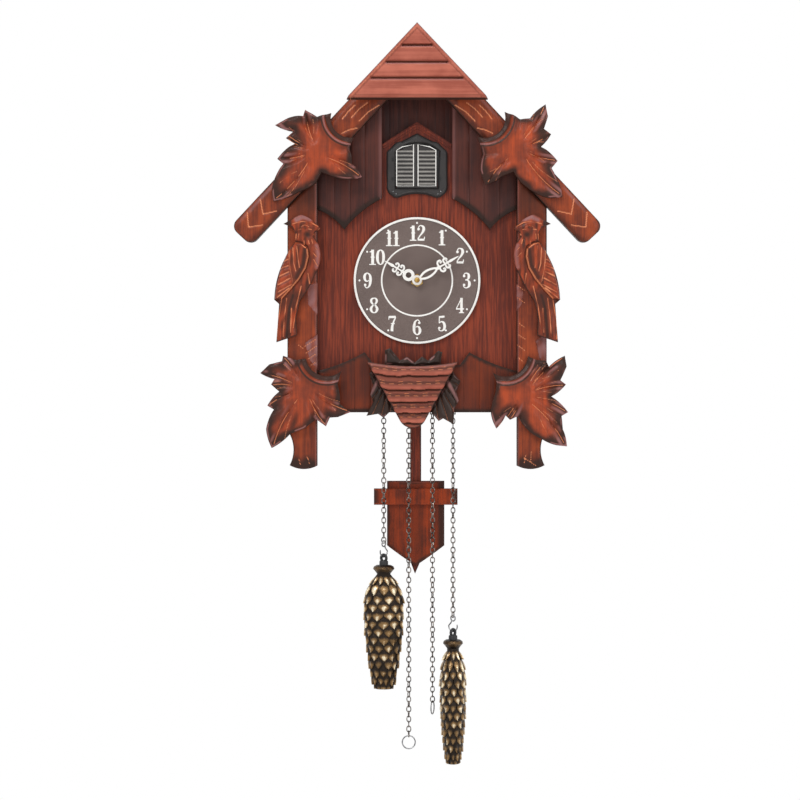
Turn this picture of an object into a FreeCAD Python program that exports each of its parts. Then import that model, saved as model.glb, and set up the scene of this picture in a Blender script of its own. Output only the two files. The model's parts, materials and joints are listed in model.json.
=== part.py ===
# A carved, chalet-style wall clock with a quartz movement, a swinging pendulum, two cone weights on
# chains and a cuckoo behind louvred shutters.
#
# Frame: millimetres, +Z up, +X to the right of someone who faces the clock, -Y out of the wall.
# The origin is the centre of the keyhole that hangs the clock, in the plane of the wall.
# A "depth" below is the distance that a face stands out from the wall, so it lies at y = -depth.

import FreeCAD, Part
import math
import os

import Sketcher

V = FreeCAD.Vector

SIZES = {
    # case
    "case_half_width": 108, "case_wall": 8, "case_depth": 84, "back_thick": 4,
    "floor_top_z": -256, "floor_thick": 6,
    "roof_slope_deg": 47, "ridge_z": 88.9, "roof_thick": 8, "roof_reach": 158,
    # front board and what is glued on it
    "board_thick": 8, "board_bottom_z": -267.2, "opening_half_width": 32.5,
    "vee_peak_z": 2.5, "vee_shoulder_z": -18, "gable_thick": 6,
    "overlay_thick": 6, "panel_side_z": -79, "panel_point_z": -97.5, "panel_inner_z": -68.7,
    "lower_peak_z": -211.5, "lower_side_z": -228.8, "lower_peak_x": 48.5,
    "post_inset": 15.7, "post_width": 27.4, "post_thick": 14, "foot_z": -318,
    "rafter_width": 26, "rafter_thick": 12, "rafter_reach": 172.2, "rafter_end_round": 8,
    "cap_half_width": 64.5, "cap_apex_z": 91.5, "cap_base_z": 19, "cap_thick": 7,
    "cap_lean": 23, "cap_border": 6, "cap_groove": 1.4,
    "leaf_height": 86, "leaf_thick": 11, "upper_leaf_x": 96, "lower_leaf_z": -256,
    "bird_height": 117.5, "bird_z": -147.5, "bird_thick": 9, "wing_thick": 4,
    # apron bracket under the dial
    "bracket_x": -4.3, "bracket_half_width": 41.7, "bracket_top_z": -220.5, "bracket_dip": 4,
    "bracket_base_z": -280.6, "bracket_thick": 14, "bracket_step": 3, "crest_thick": 8,
    # dial and hands
    "dial_z": -144.9, "dial_radius": 58.7, "dial_thick": 3,
    "arbor_radius": 1.6, "tube_radius": 2.6, "bush_radius": 4, "running_gap": 0.06, "nut_thick": 1.8,
    "hand_thick": 0.8, "hour_hand_lift": 4, "minute_hand_lift": 6.6,
    "hour_hand_reach": 35.5, "minute_hand_reach": 44.5,
    # door and cuckoo
    "surround_half_width": 28.3, "surround_peak_z": -8.3, "surround_thick": 4,
    "door_half_width": 20, "door_base_z": -59.6, "door_side_z": -25, "door_top_z": -17.4,
    "shutter_thick": 2, "shelf_top_z": -58, "shelf_length": 60, "slider_length": 46,
    # movement
    "movement_width": 56, "movement_thick": 16, "battery_radius": 7.1, "battery_length": 49,
    "knob_radius": 7, "hatch_half_width": 33, "hatch_half_height": 31, "hatch_thick": 3,
    "speaker_inset": 46, "speaker_z": -215, "speaker_radius": 22,
    # pendulum
    "pendulum_x": -1, "pivot_z": -186, "pivot_radius": 1.2, "rod_width": 10.4, "rod_thick": 4,
    "rod_inset": 26, "rod_base_z": -420, "bob_half_width": 27, "bob_top_z": -332,
    "bob_height": 80, "bob_thick": 5,
    "bar_drop": 7, "bar_half_width": 39.3, "bar_height": 15.3, "bar_thick": 5,
    # chains and weights
    "chain_inset": 7, "eye_drop": 4, "left_chain_x": -31, "left_pull_x": -7.6,
    "right_pull_x": 14.6, "right_chain_x": 33.8, "link_length": 6.7, "link_width": 4.9, "link_wire": 0.95,
    "link_play": 0.15, "left_links": 26, "left_pull_links": 65, "right_pull_links": 58,
    "right_links": 41, "hook_wire": 1, "ring_radius": 6.2, "ring_wire": 1.2,
    "cone_length": 117, "cone_half_width": 20.2, "cone_half_depth": 13.4,
    # hanger
    "hanger_thick": 1.5, "keyhole_radius": 4.5, "keyhole_slot": 2,
    "seat_gap": 0.2, "move_gap": 0.4,
}

doc = FreeCAD.newDocument("WallClock")
sheet = doc.addObject("Spreadsheet::Sheet", "Sizes")
for row, (name, value) in enumerate(SIZES.items(), start=1):
    sheet.set(f"A{row}", name)
    sheet.set(f"B{row}", str(value))
    sheet.setAlias(f"B{row}", name)
doc.recompute()

parts = {}


def mm(name):
    """The value that the sheet holds under this name."""
    return float(getattr(sheet, name))


# ---------------------------------------------------------------------------------------------
# Outlines: a path is a list of (x, z) corners; ("arc", (x, z), (x, z)) is an arc through a point.


def path_edges(path):
    """The geometry of a closed path, as Part lines and arcs in (x, y) of a sketch."""
    start = path[0]
    here = start
    edges = []
    for step in path[1:] + [start]:
        if step[0] == "arc":
            mid, end = step[1], step[2]
            edges.append(Part.Arc(V(*here, 0), V(*mid, 0), V(*end, 0)))
        else:
            end = step
            if math.dist(here, end) < 1e-6:
                continue
            edges.append(Part.LineSegment(V(*here, 0), V(*end, 0)))
        here = end
    return edges


def mirrored(path):
    """The same path on the other side of the clock's centre line."""
    flip = lambda point: (-point[0], point[1])
    return [("arc", flip(s[1]), flip(s[2])) if s[0] == "arc" else flip(s) for s in path]


def shifted(path, dx, dz):
    move = lambda point: (point[0] + dx, point[1] + dz)
    return [("arc", move(s[1]), move(s[2])) if s[0] == "arc" else move(s) for s in path]


def circle(x, z, radius):
    return [(x - radius, z), ("arc", (x, z + radius), (x + radius, z)),
            ("arc", (x, z - radius), (x - radius, z))]


def rectangle(x0, z0, x1, z1):
    return [(x0, z0), (x1, z0), (x1, z1), (x0, z1)]


def polygon(x, z, radius, sides):
    angles = [2 * math.pi * (i + 0.5) / sides for i in range(sides)]
    return [(x + radius * math.cos(a), z + radius * math.sin(a)) for a in angles]


def scaled(path, factor):
    grow = lambda point: (point[0] * factor, point[1] * factor)
    return [("arc", grow(s[1]), grow(s[2])) if s[0] == "arc" else grow(s) for s in path]


def lobed(steps, swell, shortest):
    """A clockwise path whose long chords become shallow arcs that swell outwards by a share of the chord."""
    ends = [step[2] if step[0] == "arc" else step for step in steps]
    path = [steps[0]]
    for a, b, step in zip(ends, ends[1:], steps[1:]):
        if step[0] != "arc" and math.dist(a, b) > shortest:
            mid = ((a[0] + b[0]) / 2 - (b[1] - a[1]) * swell, (a[1] + b[1]) / 2 + (b[0] - a[0]) * swell)
            step = ("arc", mid, b)
        path.append(step)
    return path


def slab(path, back, front):
    """A solid with this outline between two depths, made with Part's own functions."""
    wire = Part.Wire([e.toShape() for e in path_edges(path)])
    face = Part.Face(wire)
    face.rotate(V(0, 0, 0), V(1, 0, 0), 90)
    face.translate(V(0, -back, 0))
    return face.extrude(V(0, back - front, 0))


def box(x0, x1, back, front, z0, z1):
    return Part.makeBox(x1 - x0, front - back, z1 - z0, V(x0, -front, z0))


TURNED_SIDES = 24


def tube(x, z, back, front, radius, bore=0):
    """A turned piece whose axis runs straight out of the wall; a thin one has flats instead of a round."""
    if radius > 6:
        solid = Part.makeCylinder(radius, front - back, V(x, -back, z), V(0, -1, 0))
    else:
        solid = slab(polygon(x, z, radius, TURNED_SIDES), back, front)
    if bore:
        solid = solid.cut(slab(polygon(x, z, bore, TURNED_SIDES), back, front))
    return solid


def skin(rings):
    """A closed solid through rings of points, each joined to the next by triangles."""
    loops = [rings[0], rings[-1]]
    for ring, below in zip(rings, rings[1:]):
        for a, b, c, d in zip(ring, ring[1:] + ring[:1], below, below[1:] + below[:1]):
            loops += [[a, b, c], [b, d, c]]
    solid = Part.Solid(Part.Shell([Part.Face(Part.makePolygon(loop + loop[:1])) for loop in loops]))
    if solid.Volume < 0:
        solid.reverse()
    return solid


# ---------------------------------------------------------------------------------------------
# Document objects


def add_sketch(body, name, path):
    plane = next(f for f in body.Origin.OriginFeatures if f.Role == "XZ_Plane")
    sketch = body.newObject("Sketcher::SketchObject", name)
    sketch.AttachmentSupport = [(plane, "")]
    sketch.MapMode = "FlatFace"
    edges = path_edges(path)
    sketch.addGeometry(edges, False)
    # A sketch keeps every arc counter-clockwise, so an arc drawn the other way ends at its point 1
    ends = []
    for edge in edges:
        a, b, c = (edge.value(edge.FirstParameter + k * (edge.LastParameter - edge.FirstParameter) / 2)
                   for k in range(3))
        ends.append((2, 1) if (b - a).cross(c - b).z < -1e-9 else (1, 2))
    for i in range(len(edges)):
        follows = (i + 1) % len(edges)
        sketch.addConstraint(Sketcher.Constraint("Coincident", i, ends[i][1], follows, ends[follows][0]))
    return sketch


def board(label, path, back, thick, cuts=()):
    """A flat board: its outline padded out from the depth back, then each cut pocketed through it."""
    body = doc.addObject("PartDesign::Body", label)
    pad = body.newObject("PartDesign::Pad", label + "_pad")
    pad.Profile = add_sketch(body, label + "_outline", path)
    pad.setExpression("Length", thick)
    for i, cut in enumerate(cuts):
        pocket = body.newObject("PartDesign::Pocket", f"{label}_cut{i}")
        pocket.Profile = add_sketch(body, f"{label}_cut_outline{i}", cut)
        pocket.setExpression("Length", thick)
        pocket.Reversed = True
    body.setExpression("Placement.Base.y", f"-({back})")
    body.Label = label
    parts[label] = body
    return body


def feature(label, shape):
    """A piece that no feature tree fits: its shape is worked out from the sheet's values."""
    obj = doc.addObject("Part::Feature", label)
    obj.Shape = shape
    obj.Label = label
    parts[label] = obj
    return obj


def both_sides(name, path, back, thick, cuts=()):
    """A board on the left and its mirror image on the right."""
    board(name + "_left", mirrored(path), back, thick, [mirrored(c) for c in cuts])
    board(name + "_right", path, back, thick, cuts)


# Depths that several pieces share, as expressions for the sheet and as numbers
BOARD_BACK = "Sizes.case_depth"
BOARD_FRONT = "Sizes.case_depth + Sizes.board_thick"
OVERLAY_FRONT = "Sizes.case_depth + Sizes.board_thick + Sizes.overlay_thick"
RAFTER_FRONT = OVERLAY_FRONT + " + Sizes.rafter_thick"
POST_FRONT = BOARD_FRONT + " + Sizes.post_thick"
board_front = mm("case_depth") + mm("board_thick")
overlay_front = board_front + mm("overlay_thick")
rafter_front = overlay_front + mm("rafter_thick")
post_front = board_front + mm("post_thick")
chain_depth = mm("case_depth") - mm("chain_inset")
post_inner = mm("case_half_width") - mm("post_inset")
screw_eye_z = mm("floor_top_z") - mm("floor_thick") - mm("eye_drop")
rod_front = mm("case_depth") - mm("rod_inset")
ROD_FRONT = "Sizes.case_depth - Sizes.rod_inset"

slope = math.tan(math.radians(mm("roof_slope_deg")))
tilt = math.cos(math.radians(mm("roof_slope_deg")))
gap = mm("seat_gap")


def roof_line(x, below):
    """Height of the line that lies so far below the roof's top surface, square to it."""
    return mm("ridge_z") - abs(x) * slope - below / tilt


# ---------------------------------------------------------------------------------------------
# Case


def make_case():
    half, wall = mm("case_half_width"), mm("case_wall")
    under = mm("roof_thick") + gap
    floor_z = mm("floor_top_z") - mm("floor_thick")
    inner = half - wall - gap
    hatch_x, hatch_z = mm("hatch_half_width") + gap, mm("hatch_half_height") + gap
    dial_z = mm("dial_z")
    hatch = rectangle(-hatch_x, dial_z - hatch_z, hatch_x, dial_z + hatch_z)
    hanger_hole = rectangle(-9, -11, 9, 16)
    speaker_x, speaker_z = mm("speaker_inset") - mm("case_half_width"), mm("speaker_z")
    reach = 0.64 * mm("speaker_radius")
    slots = [rectangle(speaker_x - reach, speaker_z + reach * k / 2 - 1.5, speaker_x + reach,
                       speaker_z + reach * k / 2 + 1.5) for k in range(-2, 3)]
    pentagon = [(-inner, floor_z), (inner, floor_z), (inner, roof_line(inner, under)),
                (0, roof_line(0, under)), (-inner, roof_line(inner, under))]
    back = board("back_panel", pentagon, "0", "Sizes.back_thick", [hatch, hanger_hole] + slots)
    seat = back.newObject("PartDesign::Pocket", "hanger_rebate")
    seat.Profile = add_sketch(back, "hanger_rebate_outline", hanger_outline(gap))
    seat.setExpression("Length", "Sizes.hanger_thick")
    seat.Reversed = True
    for side, sign in (("left", -1), ("right", 1)):
        path = [(sign * (half - wall), floor_z), (sign * half, floor_z),
                (sign * half, roof_line(half, under)), (sign * (half - wall), roof_line(half - wall, under))]
        board(f"case_side_{side}", path, "0", "Sizes.case_depth")
        reach = mm("roof_reach")
        deep = mm("roof_thick")
        run = deep * math.sin(math.radians(mm("roof_slope_deg")))
        path = [(0, roof_line(0, 0)), (sign * reach, roof_line(reach, 0)),
                (sign * (reach - run), roof_line(reach - run, deep)), (0, roof_line(0, deep))]
        if side == "right":
            path = [(x + gap if x == 0 else x, z - (gap * slope if x == 0 else 0)) for x, z in path]
        board(f"roof_board_{side}", path, "0", "Sizes.case_depth + Sizes.board_thick + Sizes.overlay_thick")
    floor = doc.addObject("Part::Box", "floor_board")
    floor.setExpression("Length", "2 * (Sizes.case_half_width - Sizes.case_wall - Sizes.seat_gap)")
    floor.setExpression("Width", "Sizes.case_depth - Sizes.back_thick - Sizes.seat_gap")
    floor.setExpression("Height", "Sizes.floor_thick")
    floor.setExpression("Placement.Base.x", "-(Sizes.case_half_width - Sizes.case_wall - Sizes.seat_gap)")
    floor.setExpression("Placement.Base.y", "-Sizes.case_depth")
    floor.setExpression("Placement.Base.z", "Sizes.floor_top_z - Sizes.floor_thick")
    slot = doc.addObject("Part::Box", "floor_slot")
    slot.setExpression("Length", "Sizes.rod_width + 26")
    slot.setExpression("Width", "Sizes.rod_thick + 12")
    slot.setExpression("Height", "Sizes.floor_thick + 2")
    slot.setExpression("Placement.Base.x", "Sizes.pendulum_x - Sizes.rod_width / 2 - 13")
    slot.setExpression("Placement.Base.y", f"-({ROD_FRONT} + 6)")
    slot.setExpression("Placement.Base.z", "Sizes.floor_top_z - Sizes.floor_thick - 1")
    cut = doc.addObject("Part::Cut", "case_floor")
    cut.Base, cut.Tool = floor, slot
    cut.Label = "case_floor"
    parts["case_floor"] = cut


def hanger_outline(extra):
    return rectangle(-20 - extra, -13 - extra, 20 + extra, 18 + extra)


def make_hanger():
    """Steel plate let into the back, with the keyhole that goes over the wall screw."""
    r, s = mm("keyhole_radius"), mm("keyhole_slot")
    neck = math.sqrt(r * r - s * s)
    keyhole = [(-s, neck), (-s, 11), ("arc", (0, 11 + s), (s, 11)), (s, neck), ("arc", (0, -r), (-s, neck))]
    holes = [circle(-15, 2.5, 1.8), circle(15, 2.5, 1.8)]
    board("hanger_plate", hanger_outline(0), "0", "Sizes.hanger_thick", [keyhole] + holes)


def make_hatch():
    """The battery door in the back, round along the edge that it turns about."""
    half, tall, thick = mm("hatch_half_width"), mm("hatch_half_height"), mm("hatch_thick")
    r = thick / 2
    z0, z1 = mm("dial_z") - tall, mm("dial_z") + tall
    leaf = box(-half, half - r, 0, thick, z0, z1)
    edge = Part.makeCylinder(r, z1 - z0, V(half - r, -r, z0))
    notch = Part.makeCylinder(7, thick, V(-half, 0, mm("dial_z")), V(0, -1, 0))
    feature("battery_door", leaf.fuse(edge).cut(notch).removeSplitter())


# ---------------------------------------------------------------------------------------------
# Front: boards, posts, rafters, cap


def make_front():
    half = mm("case_half_width")
    under = mm("roof_thick") + gap
    bottom, open_x = mm("board_bottom_z"), mm("opening_half_width")
    top = roof_line(0, under)
    outline = [(-half, bottom), (half, bottom), (half, roof_line(half, under)),
               (open_x, roof_line(open_x, under)), (open_x, mm("vee_shoulder_z")), (0, mm("vee_peak_z")),
               (-open_x, mm("vee_shoulder_z")), (-open_x, roof_line(open_x, under)),
               (-half, roof_line(half, under))]
    doorway = [(-17, -58), (17, -58), (17, -27), ("arc", (0, -21), (-17, -27))]
    bush_hole = circle(0, mm("dial_z"), mm("bush_radius") + gap)
    board("front_board", outline, BOARD_BACK, "Sizes.board_thick", [doorway, bush_hole])
    wide = open_x + 7
    recess = [(-wide, -26), (-18, -26), ("arc", (0, -19), (18, -26)), (wide, -26),
              (wide, roof_line(wide, under)), (0, top), (-wide, roof_line(wide, under))]
    board("gable_board", recess, "Sizes.case_depth - Sizes.gable_thick - Sizes.seat_gap", "Sizes.gable_thick")

    outer = post_inner - gap
    top_in, top_out = roof_line(open_x, under), roof_line(outer, under)
    side_z, point_z, inner_z = mm("panel_side_z"), mm("panel_point_z"), mm("panel_inner_z")
    panel = [(open_x, top_in), (open_x, inner_z), ("arc", (47, -77.5), (67.5, point_z)),
             ("arc", (78, -87), (outer, side_z)), (outer, top_out)]
    both_sides("plank_panel", panel, BOARD_FRONT, "Sizes.overlay_thick")

    peak_x, peak_z, low_z = mm("lower_peak_x"), mm("lower_peak_z"), mm("lower_side_z")
    lower = [(-outer, bottom), (outer, bottom), (outer, low_z), ("arc", (68, -221), (peak_x, peak_z)),
             (peak_x - 9, peak_z - 12), (9 - peak_x, peak_z - 12), (-peak_x, peak_z),
             ("arc", (-68, -221), (-outer, low_z))]
    board("lower_panel", lower, BOARD_FRONT, "Sizes.overlay_thick")

    inner, far = post_inner, post_inner + mm("post_width")
    foot, below = mm("foot_z"), mm("rafter_width") + gap
    post = [(inner, foot + 1.5), ("arc", ((inner + far) / 2, foot - 1.5), (far - 2, foot + 2)),
            ("arc", (far - 5.5, foot + 19), (far, foot + 34)), (far, roof_line(far, below)),
            (inner, roof_line(inner, below))]
    both_sides("post", post, BOARD_FRONT, "Sizes.post_thick")


def make_rafters():
    """Barge boards under the roof's edge; their tops are planed to the lean of the cap."""
    reach, width, r = mm("rafter_reach"), mm("rafter_width"), mm("rafter_end_round")
    angle = math.radians(mm("roof_slope_deg"))
    along, across = (math.cos(angle), -math.sin(angle)), (-math.sin(angle), -math.cos(angle))
    tip = (reach, roof_line(reach, 0))
    spot = lambda u, v: (tip[0] + u * along[0] + v * across[0], tip[1] + u * along[1] + v * across[1])
    k = r * (1 - math.sqrt(0.5))
    end = [spot(-r, 0), ("arc", spot(-k, k), spot(0, r)), spot(0, width - r),
           ("arc", spot(-k, width - k), spot(-r, width))]
    for side, sign in (("left", -1), ("right", 1)):
        ridge_x = gap / 2
        path = [(ridge_x, roof_line(ridge_x, 0))] + end + [(ridge_x, roof_line(ridge_x, width))]
        if sign < 0:
            path = mirrored(path)
        solid = slab(path, overlay_front, rafter_front)
        feature(f"rafter_{side}", solid.cut(cap_clearance()))


def cap_depth(z):
    """Depth of the back face of the cap at a height: its apex seats on the boards, its base leans out."""
    share = (mm("cap_apex_z") - z) / (mm("cap_apex_z") - mm("cap_base_z"))
    return overlay_front + share * mm("cap_lean")


def cap_clearance():
    """Everything in front of the cap's back face."""
    z0, z1, far = mm("cap_base_z"), mm("cap_apex_z") + 10, 2 * rafter_front
    profile = [V(0, gap - cap_depth(z0), z0), V(0, gap - cap_depth(z1), z1), V(0, -far, z1), V(0, -far, z0)]
    face = Part.Face(Part.makePolygon(profile + profile[:1]))
    face.translate(V(-2 * mm("cap_half_width"), 0, 0))
    return face.extrude(V(4 * mm("cap_half_width"), 0, 0))


def make_cap():
    """Small hipped roof end: a leaning triangle of lapped boards in a raised border."""
    half, thick, border = mm("cap_half_width"), mm("cap_thick"), mm("cap_border")
    lean = math.atan2(mm("cap_lean"), mm("cap_apex_z") - mm("cap_base_z"))
    height = (mm("cap_apex_z") - mm("cap_base_z")) / math.cos(lean)
    outline = [(-half, 0), (half, 0), (0, height)]
    solid = slab(outline, 0, thick)
    shrink = border / math.cos(math.atan2(height, half))
    inner = [(-half + shrink * 1.2, 0), (half - shrink * 1.2, 0), (0, height - shrink)]
    field = slab(inner, thick - 1, thick)
    solid = solid.cut(field)
    for share in (0.3, 0.54, 0.77):
        z = height * share
        reach = half * (1 - share)
        solid = solid.cut(box(-reach + border, reach - border, thick - 2.6, thick, z, z + mm("cap_groove")))
    solid.rotate(V(0, 0, 0), V(1, 0, 0), -math.degrees(lean))
    solid.translate(V(0, -cap_depth(mm("cap_base_z")), mm("cap_base_z")))
    feature("hip_cap", solid)


# ---------------------------------------------------------------------------------------------
# Carved ornaments

# Each leaf's corners, clockwise from its top, about the middle of a leaf that is DRAWN_LEAF high. Its arc
# is the round recess that clears the rafter or the post.
DRAWN_LEAF = 86
UPPER_LEFT_LEAF = [
    (-7, 43), (4, 36.5), (17, 40), ("arc", (21.7, 22.8), (37.5, 17.5)), (33.5, 8), (36, -6.5),
    (45, -18.5), (31, -21), (14, -16.5), (8, -14.5), (3, -24), (-12, -32), (-36, -41), (-37, -27),
    (-27, -6.5), (-32.5, -2), (-16.5, 12), (-24.5, 17), (-18, 23), (-34.5, 29), (-23, 35), (-9, 37.5)]
UPPER_RIGHT_LEAF = [
    (-15.5, 41), (-8, 38), (-1.5, 34), (7.5, 35), (22, 48), (24, 36.5), (20.5, 25.5), (27, 20.5),
    (17.5, 9), (33, -4), (27.5, -10.5), (33, -22), (37.5, -37), (25, -38), (7, -30), (2, -26),
    (-7.5, -14), (-18, -18), (-33, -25.5), (-38, -12), (-35.5, 2), (-38, 11), (-40.5, 18.3),
    ("arc", (-20.4, 22.8), (-15.5, 41))]
LOWER_LEFT_LEAF = [
    (-17.5, 41), (-5.5, 37), (3.5, 38.5), ("arc", (13.8, 24.4), (36, 27)), (32.5, 14.5), (35, -3.5),
    (44.5, -11), (33, -15.5), (25.5, -16), (22, -24), (13, -17.5), (2, -26), (-11, -31), (-28, -44),
    (-33, -26.5), (-26, -8.5), (-32, -5), (-21, 8), (-28.5, 14.5), (-25.5, 19.5), (-38.5, 25), (-30, 33),
    (-18.5, 36), (-17.5, 41)]
LOWER_RIGHT_LEAF = [
    (-4, 40.5), (4, 37), (12.5, 36.5), (15.5, 31), (30, 41), (31.5, 31), (26, 18.5), (31, 14.5),
    (17.5, 3.5), (33, -11), (27, -14.5), (28, -26.5), (32, -42.5), (22.5, -41.5), (8.5, -35.5),
    (-4, -27.5), (-13, -14.5), (-20.5, -18), (-24.5, -14), (-33, -26), (-38, -12.5),
    (-34, 6), (-32.5, 16), (-36, 25.2), ("arc", (-14.4, 24.5), (-4, 40.5))]


def make_leaves():
    size = mm("leaf_height") / DRAWN_LEAF
    upper_x = mm("upper_leaf_x")
    upper_z = roof_line(upper_x, mm("rafter_width") / 2) + 1
    lower_x = post_inner + mm("post_width") / 2
    for label, corners, x, z, back in (
            ("leaf_upper_left", UPPER_LEFT_LEAF, -upper_x, upper_z, RAFTER_FRONT),
            ("leaf_upper_right", UPPER_RIGHT_LEAF, upper_x, upper_z, RAFTER_FRONT),
            ("leaf_lower_left", LOWER_LEFT_LEAF, -lower_x, mm("lower_leaf_z"), POST_FRONT),
            ("leaf_lower_right", LOWER_RIGHT_LEAF, lower_x, mm("lower_leaf_z"), POST_FRONT)):
        path = shifted(scaled(lobed(corners, 0.05, 14), size), x, z)
        board(label, path, back, "Sizes.leaf_thick")


DRAWN_BIRD = 117.5


def make_woodpeckers():
    """A bird on each post, beak outwards, with its folded wing standing proud."""
    whole = [(-1.5, 62.5), ("arc", (8, 58), (17, 49.5)), (12, 46.5), (10.5, 42), ("arc", (17, 26), (14, 12)),
             ("arc", (7, -3), (-2, -17)), (-5.5, -33), (-4.5, -48.5), (-23.5, -55), (-21, -20),
             (-25.5, -16), ("arc", (-19, 15), (-5.5, 38)), (-6.5, 46), (-9, 51), (-17, 54), (-8, 59)]
    wing = [(-5.5, 38), ("arc", (4, 37), (7, 21.5)), ("arc", (1, 3), (-7, -5)), (-15, -12), (-25.5, -16),
            ("arc", (-19, 15), (-5.5, 38))]
    size = mm("bird_height") / DRAWN_BIRD
    post_x = post_inner + mm("post_width") / 2
    deep, proud = mm("bird_thick"), mm("wing_thick")
    for side, sign in (("left", -1), ("right", 1)):
        pieces = []
        for path, back, front in ((whole, 0, deep), (wing, deep, deep + proud)):
            path = scaled(path if sign < 0 else mirrored(path), size)
            path = shifted(path, sign * post_x, mm("bird_z"))
            pieces.append(slab(path, post_front + back, post_front + front))
        feature(f"woodpecker_{side}", pieces[0].fuse(pieces[1]).removeSplitter())


def bracket_side(z):
    """Half width of the apron at a height: it tapers to a round tip."""
    top, base = mm("bracket_top_z"), mm("bracket_base_z")
    return mm("bracket_half_width") * (1 - 0.8 * (top - z) / (top - base))


def make_bracket():
    """Shingled apron: rows that each stand proud at their lower edge, under a toothed crest."""
    x0, top, base = mm("bracket_x"), mm("bracket_top_z"), mm("bracket_base_z")
    half, dip, step = mm("bracket_half_width"), mm("bracket_dip"), mm("bracket_step")
    rows = 6
    pitch = (top - base) / rows
    front = overlay_front + mm("bracket_thick")
    profile = [V(0, -overlay_front, base - 1), V(0, -overlay_front, top + 1)]
    for row in range(rows):
        z = top - row * pitch
        profile += [V(0, step - front, z + (1 if row == 0 else 0)), V(0, -front, z - pitch * 0.9)]
    profile.append(V(0, step - front, base - 1))
    shingles = Part.Face(Part.makePolygon(profile + profile[:1]))
    shingles.translate(V(x0 - half - 1, 0, 0))
    shingles = shingles.extrude(V(2 * half + 2, 0, 0))
    low = base + pitch * 0.6
    side = bracket_side(low)
    outline = [(-half, top), ("arc", (0, top - dip), (half, top)), (side, low),
               ("arc", (0, base - 1), (-side, low))]
    feature("apron", shingles.common(slab(shifted(outline, x0, 0), overlay_front, front)))

    # The crest's and the leaves' corners lie so many half widths out and shares of the height down
    spot = lambda out, down: (out * half, top - down * (top - base))
    reach = 0.62
    seat = top - dip * (1 - reach * reach) + gap
    crest = [(-reach * half, seat), spot(-0.61, -0.18), spot(-0.5, -0.21), spot(-0.4, -0.13), spot(-0.27, -0.02),
             spot(-0.12, -0.08), spot(0.05, 0.01), spot(0.21, -0.08), spot(0.35, -0.02), spot(0.57, -0.17),
             spot(0.66, -0.15), (reach * half, seat), ("arc", (0, top - dip + gap), (-reach * half, seat))]
    board("apron_crest", shifted(crest, x0, 0), OVERLAY_FRONT, "Sizes.crest_thick")
    z_in, z_low = top - 0.14 * (top - base), base + 0.24 * (top - base)
    inner_top, inner_low = bracket_side(z_in) + gap * 2, bracket_side(z_low) + gap * 2
    left = [(-inner_top, z_in), spot(-0.96, 0.18), spot(-0.87, 0.36), spot(-0.93, 0.5), spot(-0.87, 0.62),
            spot(-1.02, 0.83), spot(-0.76, 0.8), spot(-0.64, 0.86), spot(-0.52, 0.78), (-inner_low, z_low)]
    right = [(inner_top, z_in), spot(0.96, 0.22), spot(1.07, 0.29), spot(0.97, 0.45), spot(1.02, 0.6),
             spot(0.93, 0.72), spot(0.91, 0.96), spot(0.68, 0.87), spot(0.58, 0.91), (inner_low, z_low)]
    leaves = [slab(shifted(path, x0, 0), overlay_front, overlay_front + mm("crest_thick"))
              for path in (left, right)]
    feature("apron_leaves", Part.makeCompound(leaves))


# ---------------------------------------------------------------------------------------------
# Dial, hands, movement


def make_dial():
    z = mm("dial_z")
    back = board_front
    r, thick = mm("dial_radius"), mm("dial_thick")
    disc = tube(0, z, back, back + thick, r, mm("bush_radius") + gap)
    rim = Part.makeCone(r + 1, r - 1, 2, V(0, -(back + thick - 1), z), V(0, -1, 0))
    disc = disc.common(rim.fuse(tube(0, z, back, back + thick - 1, r + 1)))
    feature("dial_plate", disc)


def bar(x0, z0, x1, z1, w0, w1):
    """A tapered strip of a hand, from one point to another."""
    angle = math.atan2(z1 - z0, x1 - x0)
    nx, nz = -math.sin(angle), math.cos(angle)
    return [(x0 + nx * w0 / 2, z0 + nz * w0 / 2), (x1 + nx * w1 / 2, z1 + nz * w1 / 2),
            (x1 - nx * w1 / 2, z1 - nz * w1 / 2), (x0 - nx * w0 / 2, z0 - nz * w0 / 2)]


def hand_shape(reach, ring_at, ring_radius, scroll_at, scroll_radius, spear, hub):
    """A pierced hand that points up: a ring, a pair of scrolls and a spear."""
    thick = mm("hand_thick")
    tip = [(0, reach), (1.7, reach - spear), (0, reach - spear - 2.5), (-1.7, reach - spear)]
    solid = slab(polygon(0, 0, hub, 16), 0, thick)
    for path in (bar(0, 0, 0, ring_at - ring_radius + 1, 2.4, 1.8), polygon(0, ring_at, ring_radius, 12),
                 bar(0, ring_at + ring_radius - 1, 0, reach, 2, 0.6), tip):
        solid = solid.fuse(slab(path, 0, thick))
    solid = solid.cut(slab(polygon(0, ring_at, ring_radius - 1.3, 12), 0, thick))
    for x in (-scroll_radius, scroll_radius):
        scroll = slab(polygon(x, scroll_at, scroll_radius, 8), 0, thick)
        solid = solid.fuse(scroll.cut(slab(polygon(x * 1.1, scroll_at, scroll_radius - 1, 8), 0, thick)))
    return solid.removeSplitter()


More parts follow.
